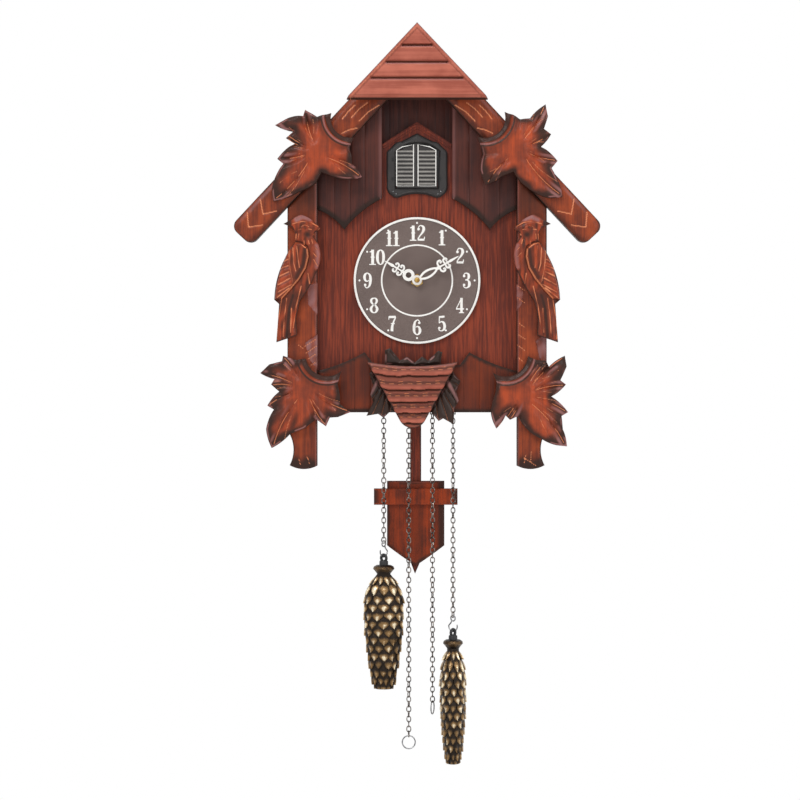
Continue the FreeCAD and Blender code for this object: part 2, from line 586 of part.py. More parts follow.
def make_hands():
    z, play = mm("dial_z"), mm("running_gap")
    arbor, sleeve, thick = mm("arbor_radius"), mm("tube_radius"), mm("hand_thick")
    back = mm("case_depth") - mm("movement_thick")
    dial_front = board_front + mm("dial_thick")
    hour_at, minute_at = dial_front + mm("hour_hand_lift"), dial_front + mm("minute_hand_lift")
    for label, depth, turn, shape, stem in (
            ("hour_hand", hour_at, -59, hand_shape(mm("hour_hand_reach"), 12, 5.2, 20.5, 3.2, 7, 5),
             (mm("case_depth") - mm("board_thick") / 2, hour_at + thick, sleeve, arbor + play)),
            ("minute_hand", minute_at, 60, hand_shape(mm("minute_hand_reach"), 17, 4, 29, 3.4, 8, 4.2),
             (back - 1, minute_at + thick + 1.2, arbor, 0))):
        shape.rotate(V(0, 0, 0), V(0, 1, 0), turn)
        shape.translate(V(0, -depth, z))
        x_stem = tube(0, z, stem[0], stem[1], stem[2])
        shape = shape.fuse(x_stem)
        if stem[3]:
            shape = shape.cut(tube(0, z, stem[0] - 1, stem[1] + 1, stem[3]))
        feature(label, shape.removeSplitter())
    cap_back = minute_at + thick + 0.1
    feature("hand_nut", tube(0, z, cap_back, cap_back + 1.6, 2.6, arbor))
    feature("set_knob", slab(polygon(0, z, mm("knob_radius"), 12), back - 5.5, back - 1))


def make_movement():
    z, half, thick = mm("dial_z"), mm("movement_width") / 2, mm("movement_thick")
    front = mm("case_depth")
    back = front - thick
    housing = box(-half, half, back, front, z - half, z + half)
    housing = housing.makeFillet(3, [e for e in housing.Edges if abs(e.tangentAt(0).y) > 0.9])
    stem_end = board_front + mm("dial_thick") + 2.2
    housing = housing.fuse(tube(0, z, front, stem_end, mm("bush_radius")))
    housing = housing.cut(tube(0, z, front - 5, stem_end, mm("tube_radius") + mm("running_gap")))
    housing = housing.cut(tube(0, z, back, front, mm("arbor_radius") + mm("running_gap")))
    r, length = mm("battery_radius"), mm("battery_length")
    bay_z = z - half + r + 3
    bay = box(-length / 2 - 2, length / 2 + 2, back, back + 2 * r + 0.6, bay_z - r - 0.4, bay_z + r + 0.4)
    feature("quartz_movement", housing.cut(bay).removeSplitter())
    cell = Part.makeCylinder(r, length - 1.5, V(-length / 2, -(back + r), bay_z), V(1, 0, 0))
    nub = Part.makeCylinder(2.6, 1.5, V(length / 2 - 1.5, -(back + r), bay_z), V(1, 0, 0))
    feature("battery", cell.fuse(nub))
    nut_back = board_front + mm("dial_thick") + gap
    nut_front = nut_back + mm("nut_thick")
    nut = slab(polygon(0, z, 1.5 * mm("bush_radius"), 6), nut_back, nut_front)
    feature("dial_nut", nut.cut(tube(0, z, nut_back, nut_front, mm("bush_radius") + gap / 2)))


def make_speaker():
    """Twelve-ribbed basket on the slots in the back, with its magnet inwards."""
    x, z, r = mm("speaker_inset") - mm("case_half_width"), mm("speaker_z"), mm("speaker_radius")
    seat = mm("back_thick") + gap
    angles = [math.radians(30 * i) for i in range(12)]
    steps = ((r, 0), (r, 3), (0.86 * r, 3), (0.45 * r, 11), (r / 2, 11), (r / 2, 18))
    feature("speaker", skin([[V(x + radius * math.cos(a), -(seat + out), z + radius * math.sin(a))
                              for a in angles] for radius, out in steps]))


# ---------------------------------------------------------------------------------------------
# Cuckoo door


def make_door():
    half, thick, peak = mm("surround_half_width"), mm("surround_thick"), mm("surround_peak_z")
    open_x, base, side, top = mm("door_half_width"), mm("door_base_z"), mm("door_side_z"), mm("door_top_z")
    right = [(0.53 * half, peak - 7.7), ("arc", (0.69 * half, peak - 8.7), (0.795 * half, peak - 11.8)),
             (half, peak - 17.2), (half, base - 2.7), (0.69 * half, base - 9.5)]
    left = [(-0.69 * half, base - 9.5), (-half, base - 2.7), (-half, peak - 17.2),
            (-0.795 * half, peak - 11.8), ("arc", (-0.69 * half, peak - 8.7), (-0.53 * half, peak - 7.7))]
    outline = [(0, peak)] + right + [("arc", (0, base - 4.8), left[0])] + left[1:]
    frame = slab(outline, board_front, board_front + thick)
    play = mm("move_gap")
    hole = [(-open_x, base), (open_x, base), (open_x, side), ("arc", (0, top), (-open_x, side))]
    feature("door_surround", frame.cut(slab(hole, board_front, board_front + thick)))

    t = mm("shutter_thick")
    r = t / 2
    back = board_front + r
    edge_x = open_x - play - r
    shoulder, step = side - 1.4, edge_x - 2.6
    pair = [(-edge_x, base + play), (edge_x, base + play), (edge_x, shoulder), (step, shoulder),
            ("arc", (0, top - play), (-step, shoulder)), (-edge_x, shoulder)]
    both = slab(pair, back, back + t)
    for label, sign in (("shutter_left", -1), ("shutter_right", 1)):
        x0, x1 = sorted((play / 2 * sign, edge_x * sign))
        leaf = both.common(box(x0, x1, back, back + t, base, top))
        pin = Part.makeCylinder(r, shoulder - base - play, V(sign * edge_x, -(back + r), base + play))
        leaf = leaf.fuse(pin).removeSplitter()
        x0, x1 = sorted((sign * 3, sign * (edge_x - 3)))
        for louvre in range(9):
            z = base + 5 + louvre * 3.6
            leaf = leaf.cut(box(x0, x1, back + t - 0.7, back + t, z, z + 1))
        feature(label, leaf)


def make_cuckoo():
    """A small bird on a slider that runs along a shelf behind the doorway."""
    top = mm("shelf_top_z")
    front = mm("case_depth") - gap
    feature("cuckoo_shelf", box(-13, 13, front - mm("shelf_length"), front, top - 3, top))
    slider_z, slider_front = top + mm("move_gap"), mm("case_depth") - 4
    slider_back = slider_front - mm("slider_length")
    feature("cuckoo_slider", box(-6, 6, slider_back, slider_front, slider_z, slider_z + 3))
    base, beak = slider_z + 3, mm("case_depth") - 3
    # From the tail to the beak: distance behind the beak's tip, height, half width, half height
    stations = ((40, 6, 3, 0.6), (29, 7.6, 2.4, 2.4), (23, 9.6, 4.4, 4.4), (16, 12.2, 5.6, 5.6),
                (11, 14.6, 4.6, 4.8), (8, 16.6, 4.4, 4.4), (4.7, 17.2, 3, 3), (4, 17.2, 1.5, 1.5),
                (0, 17, 0.3, 0.3))
    angles = [math.radians(45 * i + 22.5) for i in range(8)]
    bird = skin([[V(wide * math.cos(a), behind - beak, base + height + tall * math.sin(a)) for a in angles]
                 for behind, height, wide, tall in stations])
    leg = box(-1.2, 1.2, beak - 19, beak - 16.6, base, base + 11)
    feature("cuckoo", bird.fuse(leg))


# ---------------------------------------------------------------------------------------------
# Pendulum


def make_pendulum():
    x, pivot = mm("pendulum_x"), mm("pivot_z")
    front = rod_front
    r, play = mm("pivot_radius"), mm("running_gap")
    back = mm("case_depth") - mm("movement_thick")
    drive = box(x - 20, x + 20, back, mm("case_depth"), pivot - 16, pivot + 10)
    drive = drive.fuse(tube(x, pivot, front - 2, back, r))
    feature("pendulum_drive", drive.fuse(tube(x, pivot, front - 3, front - 2, r + 1)))
    strap = [(-3.5, -34), (3.5, -34), (3.5, 0), ("arc", (0, 3.5), (-3.5, 0))]
    strap = slab(shifted(strap, x, pivot), front, front + 1.4)
    feature("pendulum_hanger", strap.cut(tube(x, pivot, front, front + 2, r + play)))
    half, thick, base = mm("rod_width") / 2, mm("rod_thick"), mm("rod_base_z")
    rod = [(-half, pivot - 12), (-half, base + 6), (0, base), (half, base + 6), (half, pivot - 12)]
    board("pendulum_rod", shifted(rod, x, 0), f"{ROD_FRONT} - Sizes.rod_thick - Sizes.seat_gap",
          "Sizes.rod_thick")
    top, wide = mm("bob_top_z"), mm("bob_half_width")
    deep = mm("bob_height")
    bob = [(-wide, top), (wide, top), (wide, top - 0.76 * deep),
           ("arc", (0.48 * wide, top - 0.89 * deep), (0, top - deep)),
           ("arc", (-0.48 * wide, top - 0.89 * deep), (-wide, top - 0.76 * deep))]
    board("pendulum_bob", shifted(bob, x, 0), ROD_FRONT, "Sizes.bob_thick")
    half, tall = mm("bar_half_width"), mm("bar_height")
    bar_top = top - mm("bar_drop")
    bar_path = rectangle(-half, bar_top - tall, half, bar_top)
    board("pendulum_bar", shifted(bar_path, x, 0), ROD_FRONT + " + Sizes.bob_thick", "Sizes.bar_thick")


# ---------------------------------------------------------------------------------------------
# Chains, hooks and weights


def link_shape():
    """One chain link in the XZ plane: a frame of square wire."""
    tall, wide, w = mm("link_length") / 2, mm("link_width") / 2, mm("link_wire")
    hole = slab(rectangle(w - wide, w - tall, wide - w, tall - w), -w / 2, w / 2)
    return slab(rectangle(-wide, -tall, wide, tall), -w / 2, w / 2).cut(hole)


def chain(label, x, count, first_turned=True):
    """A strand of links, each a quarter turn from the last, below the eye that it hangs on."""
    pitch = mm("link_length") - 2 * mm("link_wire") - mm("link_play")
    links = []
    for i in range(count):
        link = link_shape()
        if (i % 2 == 0) == first_turned:
            link.rotate(V(0, 0, 0), V(0, 0, 1), 90)
        link.translate(V(x, -chain_depth, screw_eye_z - pitch * (i + 1)))
        links.append(link)
    feature(label, Part.makeCompound(links))
    return screw_eye_z - pitch * count - mm("link_length") / 2


def screw_eye(x):
    """The link-shaped eye of a screw that is driven into the underside of the floor."""
    eye = link_shape()
    eye.translate(V(x, -chain_depth, screw_eye_z))
    top = mm("floor_top_z") - mm("floor_thick") - gap
    base = screw_eye_z + mm("link_length") / 2 - mm("link_wire") / 2
    shank = box(x - 0.6, x + 0.6, chain_depth - 0.6, chain_depth + 0.6, base, top)
    return eye.fuse(shank)


def s_hook(label, x, end_z, sign, turn):
    """A closed eye on the last link and an open hook below, cut as one S of square wire."""
    w = mm("hook_wire")
    eye_r, hook_r = 3.2, 5.6
    eye_z = end_z + mm("link_wire") + 1.3 - (eye_r - w)
    eye = slab(polygon(0, 0, eye_r, 12), -w / 2, w / 2).cut(slab(polygon(0, 0, eye_r - w, 12), -w / 2, w / 2))
    cz = -7.4
    spot = lambda r, deg: (sign * r * math.cos(math.radians(deg)), cz + r * math.sin(math.radians(deg)))
    outer, inner = hook_r, hook_r - w
    turns = range(160, 386, 25)
    hook = [spot(outer, deg) for deg in turns] + [spot(inner, deg) for deg in reversed(turns)]
    shank = bar(*spot(hook_r - w / 2, 162), sign * -0.6, -eye_r + 0.5, w, w)
    solid = eye.fuse([slab(hook, -w / 2, w / 2), slab(shank, -w / 2, w / 2)]).removeSplitter()
    solid.rotate(V(0, 0, 0), V(0, 0, 1), -sign * turn)
    solid.translate(V(x, -chain_depth, eye_z))
    feature(label, solid)
    return eye_z + cz - hook_r + w


CONE_SIDES = 10
# The cone's outline: share of its length down, of its half width and of its half depth
CONE_COLLAR = ((0, 0.5, 0.7), (0.07, 0.31, 0.42))
CONE_BODY = ((0.13, 0.62, 0.6), (0.2, 0.88, 0.85), (0.32, 1, 1), (0.55, 0.94, 0.97), (0.8, 0.76, 0.82),
             (0.95, 0.6, 0.62), (1, 0.42, 0.45))


def cone_rings():
    """Rings of the cone with their half turns: each row of scales ends proud and the next starts set in."""
    rings = [(0, collar) for collar in CONE_COLLAR]
    rows = 13
    first, last = CONE_BODY[0][0], CONE_BODY[-1][0]
    for row in range(rows):
        for part, inset in ((0.1, 0.93), (0.85, 1)):
            down = first + (last - first) * (row + part) / rows
            upper, lower = next(pair for pair in zip(CONE_BODY, CONE_BODY[1:]) if down <= pair[1][0])
            share = (down - upper[0]) / (lower[0] - upper[0])
            wide, deep = (inset * (upper[i] + share * (lower[i] - upper[i])) for i in (1, 2))
            rings.append((row + (part > 0.5), (down, wide, deep)))
    return rings


def make_weight(side, x, hang_z, quarter_turn):
    """A flattened fir cone with a flared collar, and the black plug that its hook goes through."""
    depth = chain_depth
    hole, wide, thick = 2.4, 4.6, 2
    centre = hang_z - hole + 0.9
    low = centre - 9
    tab = [(-wide, low), (-wide, centre), ("arc", (0, centre + wide), (wide, centre)), (wide, low)]
    plug = slab(shifted(tab, x, 0), depth - thick / 2, depth + thick / 2)
    slot = box(x - hole - 0.4, x + hole + 0.4, depth - 4, depth + 4, centre - hole, centre + hole)
    feature(f"weight_plug_{side}", plug.cut(slot))
    top = centre - 6.5
    length = mm("cone_length")
    half, deep = mm("cone_half_width"), mm("cone_half_depth")
    if quarter_turn:
        half, deep = deep, half
    rings = []
    for turn, (down, wide_share, deep_share) in cone_rings():
        angles = [math.pi * (2 * i + turn) / CONE_SIDES for i in range(CONE_SIDES)]
        rings.append([V(x + half * wide_share * math.cos(a), deep * deep_share * math.sin(a) - depth,
                        top - down * length) for a in angles])
    cone = skin(rings)
    reach, room = wide + gap, thick / 2 + gap
    socket = box(x - reach, x + reach, depth - room, depth + room, low - gap, top + 1)
    feature(f"cone_{side}", cone.cut(socket))


def pull_ring(label, x, end_z, edge_on):
    r, w = mm("ring_radius"), mm("ring_wire")
    z = end_z + mm("link_wire") + 0.3 - (r - w / 2)
    ring = slab(polygon(0, 0, r + w / 2, 16), -w / 2, w / 2).cut(slab(polygon(0, 0, r - w / 2, 16), -w / 2, w / 2))
    if edge_on:
        ring.rotate(V(0, 0, 0), V(0, 0, 1), 75)
    ring.translate(V(x, -chain_depth, z))
    feature(label, ring)


def make_chains():
    strands = ("left_chain_x", "left_pull_x", "right_pull_x", "right_chain_x")
    left_x, left_pull_x, right_pull_x, right_x = (mm(name) for name in strands)
    feature("chain_eyes", Part.makeCompound([screw_eye(mm(name)) for name in strands]))
    end = chain("chain_left", left_x, int(mm("left_links")))
    make_weight("left", left_x, s_hook("s_hook_left", left_x, end, -1, 50), False)
    end = chain("chain_right", right_x, int(mm("right_links")))
    make_weight("right", right_x, s_hook("s_hook_right", right_x, end, 1, 40), True)
    end = chain("pull_chain_left", left_pull_x, int(mm("left_pull_links")))
    pull_ring("pull_ring_left", left_pull_x, end, False)
    end = chain("pull_chain_right", right_pull_x, int(mm("right_pull_links")))
    pull_ring("pull_ring_right", right_pull_x, end, True)


# ---------------------------------------------------------------------------------------------

make_case()
make_hanger()
make_hatch()
make_front()
make_rafters()
make_cap()
make_leaves()
make_woodpeckers()
make_bracket()
make_dial()
make_hands()
make_movement()
make_speaker()
make_door()
make_cuckoo()
make_pendulum()
make_chains()
doc.recompute()

for obj in doc.Objects:
    if "Invalid" in obj.State or "Error" in obj.State:
        raise RuntimeError(f"{obj.Label} failed: {obj.State}")
for name, obj in parts.items():
    if obj.Shape.isNull() or not obj.Shape.isValid():
        raise RuntimeError(f"{name} has no valid shape")

os.makedirs("parts", exist_ok=True)
for name, obj in parts.items():
    obj.Shape.exportStep(f"parts/{name}.step")
print(len(parts), "parts written")
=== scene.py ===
# %% [markdown]
# # A carved pendulum wall clock
# The clock is a stained wooden case with carved leaves, two birds, a dial, a cuckoo door, a pendulum
# and two cone weights on chains. The frame below is its exact construction: every board, hand and
# link with its size and its place. This lesson gives those pieces their carving and their finish.
# A board whose plain shape is right keeps its frame mesh; a carved one is made again, finer.

# %% Load the frame
import json
import math
import bmesh
import bpy
import numpy as np
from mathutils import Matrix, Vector
from mathutils.geometry import delaunay_2d_cdt


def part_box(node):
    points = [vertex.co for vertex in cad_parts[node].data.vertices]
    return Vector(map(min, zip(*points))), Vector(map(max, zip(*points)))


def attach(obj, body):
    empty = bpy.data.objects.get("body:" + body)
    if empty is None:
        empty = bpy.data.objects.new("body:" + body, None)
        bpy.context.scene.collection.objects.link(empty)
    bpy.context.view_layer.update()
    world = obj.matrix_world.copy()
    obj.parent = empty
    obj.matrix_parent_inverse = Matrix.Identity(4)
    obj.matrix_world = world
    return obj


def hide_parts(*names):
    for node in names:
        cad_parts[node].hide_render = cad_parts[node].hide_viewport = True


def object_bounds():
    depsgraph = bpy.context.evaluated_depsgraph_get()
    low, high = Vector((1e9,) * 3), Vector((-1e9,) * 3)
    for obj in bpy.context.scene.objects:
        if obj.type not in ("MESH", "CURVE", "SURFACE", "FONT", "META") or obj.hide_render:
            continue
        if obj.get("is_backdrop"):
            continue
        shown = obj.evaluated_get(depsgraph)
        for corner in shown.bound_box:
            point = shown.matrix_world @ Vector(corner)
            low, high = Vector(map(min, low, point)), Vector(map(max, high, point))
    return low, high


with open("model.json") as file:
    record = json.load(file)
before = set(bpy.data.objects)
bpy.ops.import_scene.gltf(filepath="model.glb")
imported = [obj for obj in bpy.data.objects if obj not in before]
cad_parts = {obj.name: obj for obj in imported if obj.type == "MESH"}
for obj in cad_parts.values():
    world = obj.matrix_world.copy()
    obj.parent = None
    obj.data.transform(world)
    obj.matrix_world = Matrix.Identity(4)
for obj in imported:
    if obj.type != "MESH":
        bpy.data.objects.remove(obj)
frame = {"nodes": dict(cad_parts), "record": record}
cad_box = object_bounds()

scene = bpy.context.scene
MM = 0.001
print("frame nodes:", len(frame["nodes"]), "box (mm):", [round(v / MM) for v in cad_box[1] - cad_box[0]])

# %% [markdown]
# ## Camera
# A long lens two metres in front of the clock, level with the floor of its case, shows it almost
# without perspective. A lens is set by its focal length against a 36 mm sensor.

# %% Camera
VIEW_POINT = (-0.0158, -2.09, -0.25575)
FOCAL_LENGTH = 96.8
SENSOR_WIDTH = 36

camera = bpy.data.objects.new("camera", bpy.data.cameras.new("camera"))
camera.data.lens = FOCAL_LENGTH
camera.data.sensor_width = SENSOR_WIDTH
camera.location = VIEW_POINT
camera.rotation_euler = (math.radians(90), 0, 0)
scene.collection.objects.link(camera)
scene.camera = camera
scene.view_settings.view_transform = "Standard"
print("camera:", FOCAL_LENGTH, "mm lens,", -VIEW_POINT[1], "m in front")

# %% [markdown]
# ## A handle for node sockets
# A finish is a sum of masks and patterns, and it reads best as arithmetic. A `Wire` holds one output
# socket; adding or multiplying wires adds the Math nodes. `make` adds any other node: it takes the
# node's type, its settings, and the values or the links of its sockets. The same class serves the
# shader trees and the geometry trees, because both are node trees with sockets.


# %% Wire: node sockets with arithmetic
class Wire:
    """An output socket of a node tree."""

    def __init__(self, tree, socket=None):
        self.tree = tree
        self.socket = socket

    def make(self, kind, settings=None, inputs=None, output=0):
        node = self.tree.nodes.new(kind)
        for key, value in (settings or {}).items():
            setattr(node, key, value)
        for key, value in (inputs or {}).items():
            if isinstance(value, Wire):
                self.tree.links.new(value.socket, node.inputs[key])
            else:
                node.inputs[key].default_value = value
        return Wire(self.tree, node.outputs[output])

    def math(self, operation, *values):
        return self.make("ShaderNodeMath", {"operation": operation}, dict(enumerate(values)))

    def __add__(self, other):
        return self.math("ADD", self, other)

    def __sub__(self, other):
        return self.math("SUBTRACT", self, other)

    def __rsub__(self, other):
        return self.math("SUBTRACT", other, self)

    def __mul__(self, other):
        return self.math("MULTIPLY", self, other)

    def __truediv__(self, other):
        return self.math("DIVIDE", self, other)

    __radd__, __rmul__ = __add__, __mul__

    def step(self, low, high):
        """0 below low, 1 above high and smooth between."""
        ends = {"Value": self, "From Min": low, "From Max": high, "To Min": 0.0, "To Max": 1.0}
        return self.make("ShaderNodeMapRange", {"interpolation_type": "SMOOTHSTEP"}, ends)

    def coords(self):
        return self.make("ShaderNodeTexCoord", None, None, "Object")

    def noise(self, cells, detail=3.0, roughness=0.55):
        """Noise on the piece; cells is its grain in millimetres, one number or one for each axis."""
        sizes = cells if isinstance(cells, tuple) else (cells, cells, cells)
        scale = tuple(1 / (size * MM) for size in sizes)
        stretched = self.make("ShaderNodeMapping", None, {"Vector": self.coords(), "Scale": scale})
        values = {"Vector": stretched, "Scale": 1.0, "Detail": detail, "Roughness": roughness}
        return self.make("ShaderNodeTexNoise", None, values)

    def mask(self, name):
        return self.make("ShaderNodeAttribute", {"attribute_name": name}, None, "Fac")

    def mix(self, share, first, second):
        return self.make("ShaderNodeMix", {"data_type": "RGBA"}, {0: share, 6: first, 7: second}, 2)


def colour(red, green, blue):
    """A linear colour from the 0 to 255 values that a paint chart gives."""
    shares = [value / 255 for value in (red, green, blue)]
    channels = [share / 12.92 if share <= 0.04 else ((share + 0.055) / 1.055) ** 2.4 for share in shares]
    return (*channels, 1.0)


def finish(name, constants):
    """A new material with one Principled shader, and the handle that makes nodes in it."""
    material = bpy.data.materials.new(name)
    material.use_nodes = True
    shader = material.node_tree.nodes["Principled BSDF"]
    for key, value in constants.items():
        shader.inputs[key].default_value = value
    return material, shader, Wire(material.node_tree)


def feed(wire, shader, **links):
    """Links wires to the shader's sockets; a name's underscore stands for a space."""
    for key, value in links.items():
        wire.tree.links.new(value.socket, shader.inputs[key.replace("_", " ")])


def bumped(wire, height, depth_mm):
    """A bump whose full height is a depth in millimetres."""
    return wire.make("ShaderNodeBump", None, {"Height": height, "Distance": depth_mm * MM, "Strength": 1.0})


print("a middle grey in linear light:", [round(channel, 3) for channel in colour(128, 128, 128)])

# %% [markdown]
# ## Room and light
# The object hangs in front of nothing, above a pale floor. Two large soft lamps in front, one high on
# the left and one lower on the right, model the carving, and a third from above lights the roof; the
# world fills the shadows. To the camera, and in gloss, the world is plain white. The floor is pale
# near the clock's foot, where it keeps the shadow, and turns into plain white further out, so that no
# horizon shows.

# %% Room and light
FLOOR_Z, FLOOR_HALF = -0.75, 9
PALE_WITHIN, WHITE_BEYOND = 0.35, 0.6
FILL = 0.4
AIM = Vector((0, -0.08, -0.25))
LAMPS = {
    "key": {"at": (-0.9, -1.9, 1.5), "size": 1.1, "power": 24},
    "side": {"at": (1.6, -1.5, 0.4), "size": 1.2, "power": 8},
    "top": {"at": (0.1, -0.5, 1.7), "size": 0.8, "power": 9},
}

world = bpy.data.worlds.new("studio")
scene.world = world
world.use_nodes = True
wire = Wire(world.node_tree)
rays = ("Is Camera Ray", "Is Glossy Ray", "Is Transmission Ray")
seen, glossy, through = (wire.make("ShaderNodeLightPath", None, None, ray) for ray in rays)
shown = seen.math("MAXIMUM", seen.math("MAXIMUM", seen, glossy), through)
backdrop = world.node_tree.nodes["Background"]
backdrop.inputs["Color"].default_value = (1, 1, 1, 1)
world.node_tree.links.new((FILL + shown * (1 - FILL)).socket, backdrop.inputs["Strength"])

for name, lamp in LAMPS.items():
    light = bpy.data.lights.new(name, "AREA")
    light.shape, light.size, light.energy = "DISK", lamp["size"], lamp["power"]
    holder = bpy.data.objects.new(name, light)
    holder.location = lamp["at"]
    holder.rotation_euler = (AIM - holder.location).to_track_quat("-Z", "Y").to_euler()
    scene.collection.objects.link(holder)

material, shader, wire = finish("floor", {"Roughness": 0.9, "Base Color": (0.86, 0.86, 0.86, 1)})
radius = wire.make("ShaderNodeVectorMath", {"operation": "LENGTH"}, {0: wire.coords()}, "Value")
white = wire.make("ShaderNodeEmission", None, {"Color": (1, 1, 1, 1), "Strength": 1.0})
base = Wire(wire.tree, shader.outputs[0])
fade = radius.step(PALE_WITHIN, WHITE_BEYOND)
floor_mix = wire.make("ShaderNodeMixShader", None, {0: fade, 1: base, 2: white})
wire.tree.links.new(floor_mix.socket, wire.tree.nodes["Material Output"].inputs["Surface"])
floor_mesh = bpy.data.meshes.new("floor")
floor_corners = [(x * FLOOR_HALF, y * FLOOR_HALF, FLOOR_Z) for x, y in ((-1, -1), (1, -1), (1, 1), (-1, 1))]
floor_mesh.from_pydata(floor_corners, [], [(0, 1, 2, 3)])
floor_mesh.materials.append(material)
floor = bpy.data.objects.new("floor", floor_mesh)
scene.collection.objects.link(floor)
floor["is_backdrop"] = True
print("lamps:", list(LAMPS), "and a floor at", FLOOR_Z, "m")

# %% [markdown]
# ## Stained and carved wood
# The wood is lime, stained while it is bare: the stain soaks unevenly and follows fine vertical pores.
# The carver's last cuts go through the stain and show as pale orange lines. Edges are shaded with a dark
# spray, and a satin lacquer goes over all. So the finish is: two stain tones mixed by pores and
# clouds, then three masks that the carving writes into its mesh: a dark one for the spray and for
# painted shade in grooves, hollows and creases, a cut one for the cut lines, which in places also
# carries painted highlights, and a pale one for painted highlights on bevels, ridges and rims.
# A board without carving has no such masks, and a missing mask reads as nothing.

# %% Wood finishes
# Colours of the masks: a dark tone for spray and painted shade, a pale orange for cut lines and some painted
# highlights, and a lilac for painted highlights.
DARK_SPRAY_AND_SHADE = colour(44, 32, 27)
CUT_AND_HIGHLIGHT = colour(226, 142, 100)
HIGHLIGHT_LILAC = colour(150, 104, 102)
LONG, FINE = 34, 1.5
FIBRES = {"x": (LONG, FINE, FINE), "y": (FINE, LONG, FINE), "z": (FINE, FINE, LONG)}


def wood(name, light, dark, grain="z", pores=0.5, gloss=0.3, clouds=30, bands=1.1):
    """Stained wood. grain is the axis of the fibres; pores and bands are how strongly they show."""
    constants = {"Coat Weight": gloss, "Coat Roughness": 0.25, "Specular IOR Level": 0.12}
    material, shader, wire = finish(name, constants)
    fine = wire.noise(FIBRES[grain], 4.0, 0.65)
    broad = wire.noise(tuple(size * 4 for size in FIBRES[grain]), 2.0)
    cloud = wire.noise(clouds)
    streak = fine.step(0.36, 0.68)
    tone = (cloud - 0.5) * 1.5 + (broad - 0.5) * bands + (streak - 0.5) * pores + 0.5
    stain = wire.mix(tone.step(0.0, 1.0), dark, light)
    ragged = (cloud - 0.5) * 0.7 + (fine - 0.5) * 0.5
    # The dark mask: the edge spray, and painted shade in grooves, hollows and creases.
    burnt = (wire.mask("burnt") * (1.0 + ragged)).step(0.0, 1.0)
    shaded = wire.mix(burnt * 0.94, stain, DARK_SPRAY_AND_SHADE)
    cut, pale = wire.mask("cut"), wire.mask("pale")
    # The pale mask: painted highlights on bevels, ridges and rims, in a lilac tone.
    highlighted = wire.mix((pale * (0.55 + cloud * 0.7)).step(0.1, 1.0), shaded, HIGHLIGHT_LILAC)
    # The cut mask: pale orange cut lines, and in places painted highlights.
    with_cuts_and_highlights = wire.mix((cut + (fine - 0.5) * 0.3 * cut).step(0.25, 0.85), highlighted, CUT_AND_HIGHLIGHT)
    feed(wire, shader, Base_Color=with_cuts_and_highlights, Roughness=0.42 + streak * 0.14 - pale * 0.1,
         Normal=bumped(wire, fine * pores + broad * 0.3, 0.22))
    return material


def finishes(maker, table):
    """One material for each row: its name, its two tones and the maker's other values."""
    return {name: maker(name, colour(*first), colour(*second), *rest) for name, first, second, *rest in table}


WOODS = [
    ("case_wood", (116, 58, 38), (78, 40, 30), "z", 0.5, 0.08),
    ("roof_wood", (112, 56, 38), (78, 40, 30), "y", 0.5, 0.08, 40),
    ("stained_wood", (141, 63, 43), (96, 44, 35), "z", 0.85, 0.08, 60, 0.5),
    ("dark_planks", (94, 50, 42), (62, 38, 36), "z", 0.25, 0.08, 40),
    ("red_planks", (124, 54, 32), (84, 42, 33), "z", 0.25, 0.08, 40),
    ("carved_wood", (160, 72, 40), (98, 46, 34), "z", 0.25, 0.12, 22),
    ("cap_wood", (188, 106, 86), (150, 76, 60), "x", 0.2, 0.12, 26),
    ("leaf_wood", (180, 76, 42), (120, 56, 40), "z", 0.2, 0.14, 20),
    ("dark_wood", (92, 64, 54), (50, 40, 35), "z", 0.3, 0.2, 12),
    ("pendulum_wood", (160, 62, 28), (96, 42, 28), "z", 0.3, 0.08, 16),
]
FINISHES = finishes(wood, WOODS)
print("wood finishes:", len(FINISHES))

# %% [markdown]
# ## Metals and plastics
# The dial is a moulded plate with a finely ribbed outer band. Its hands and prints are white enamel.
# The links are blackened steel whose rubbed edges shine, the hooks bright zinc, the weights cast and
# bronzed: dark in every hollow and gold on every tip. A metal gets its colour from Base Color with
# Metallic at 1, so wear is only a second colour and a rougher or smoother place.


# %% Metals and plastics
def metal(name, shine, tarnish, rough, spots_mm, worn=0.5):
    """A metal with a tarnish that lies in patches."""
    material, shader, wire = finish(name, {"Metallic": 1.0})
    patch = wire.noise(spots_mm, 4.0, 0.6)
    grain = wire.noise(0.4, 2.0)
    share = (patch + (grain - 0.5) * 0.3).step(worn - 0.16, worn + 0.16)
    feed(wire, shader, Base_Color=wire.mix(share, tarnish, shine), Roughness=rough + (1 - share) * 0.2,
         Normal=bumped(wire, grain + patch, 0.05))
    return material


def plastic(name, tone, other, rough, grain_mm, bump_mm, patch_mm=14):
    """Moulded plastic with a fine eroded grain and a slight unevenness of tone."""
    material, shader, wire = finish(name, {"Specular IOR Level": 0.4})
    grain = wire.noise(grain_mm, 2.0)
    patch = wire.noise(patch_mm, 2.0)
    share = ((patch - 0.5) * 0.8 + (grain - 0.5) * 0.5 + 0.5).step(0.1, 0.9)
    feed(wire, shader, Base_Color=wire.mix(share, tone, other), Roughness=rough + (grain - 0.5) * 0.2,
         Normal=bumped(wire, grain, bump_mm))
    return material


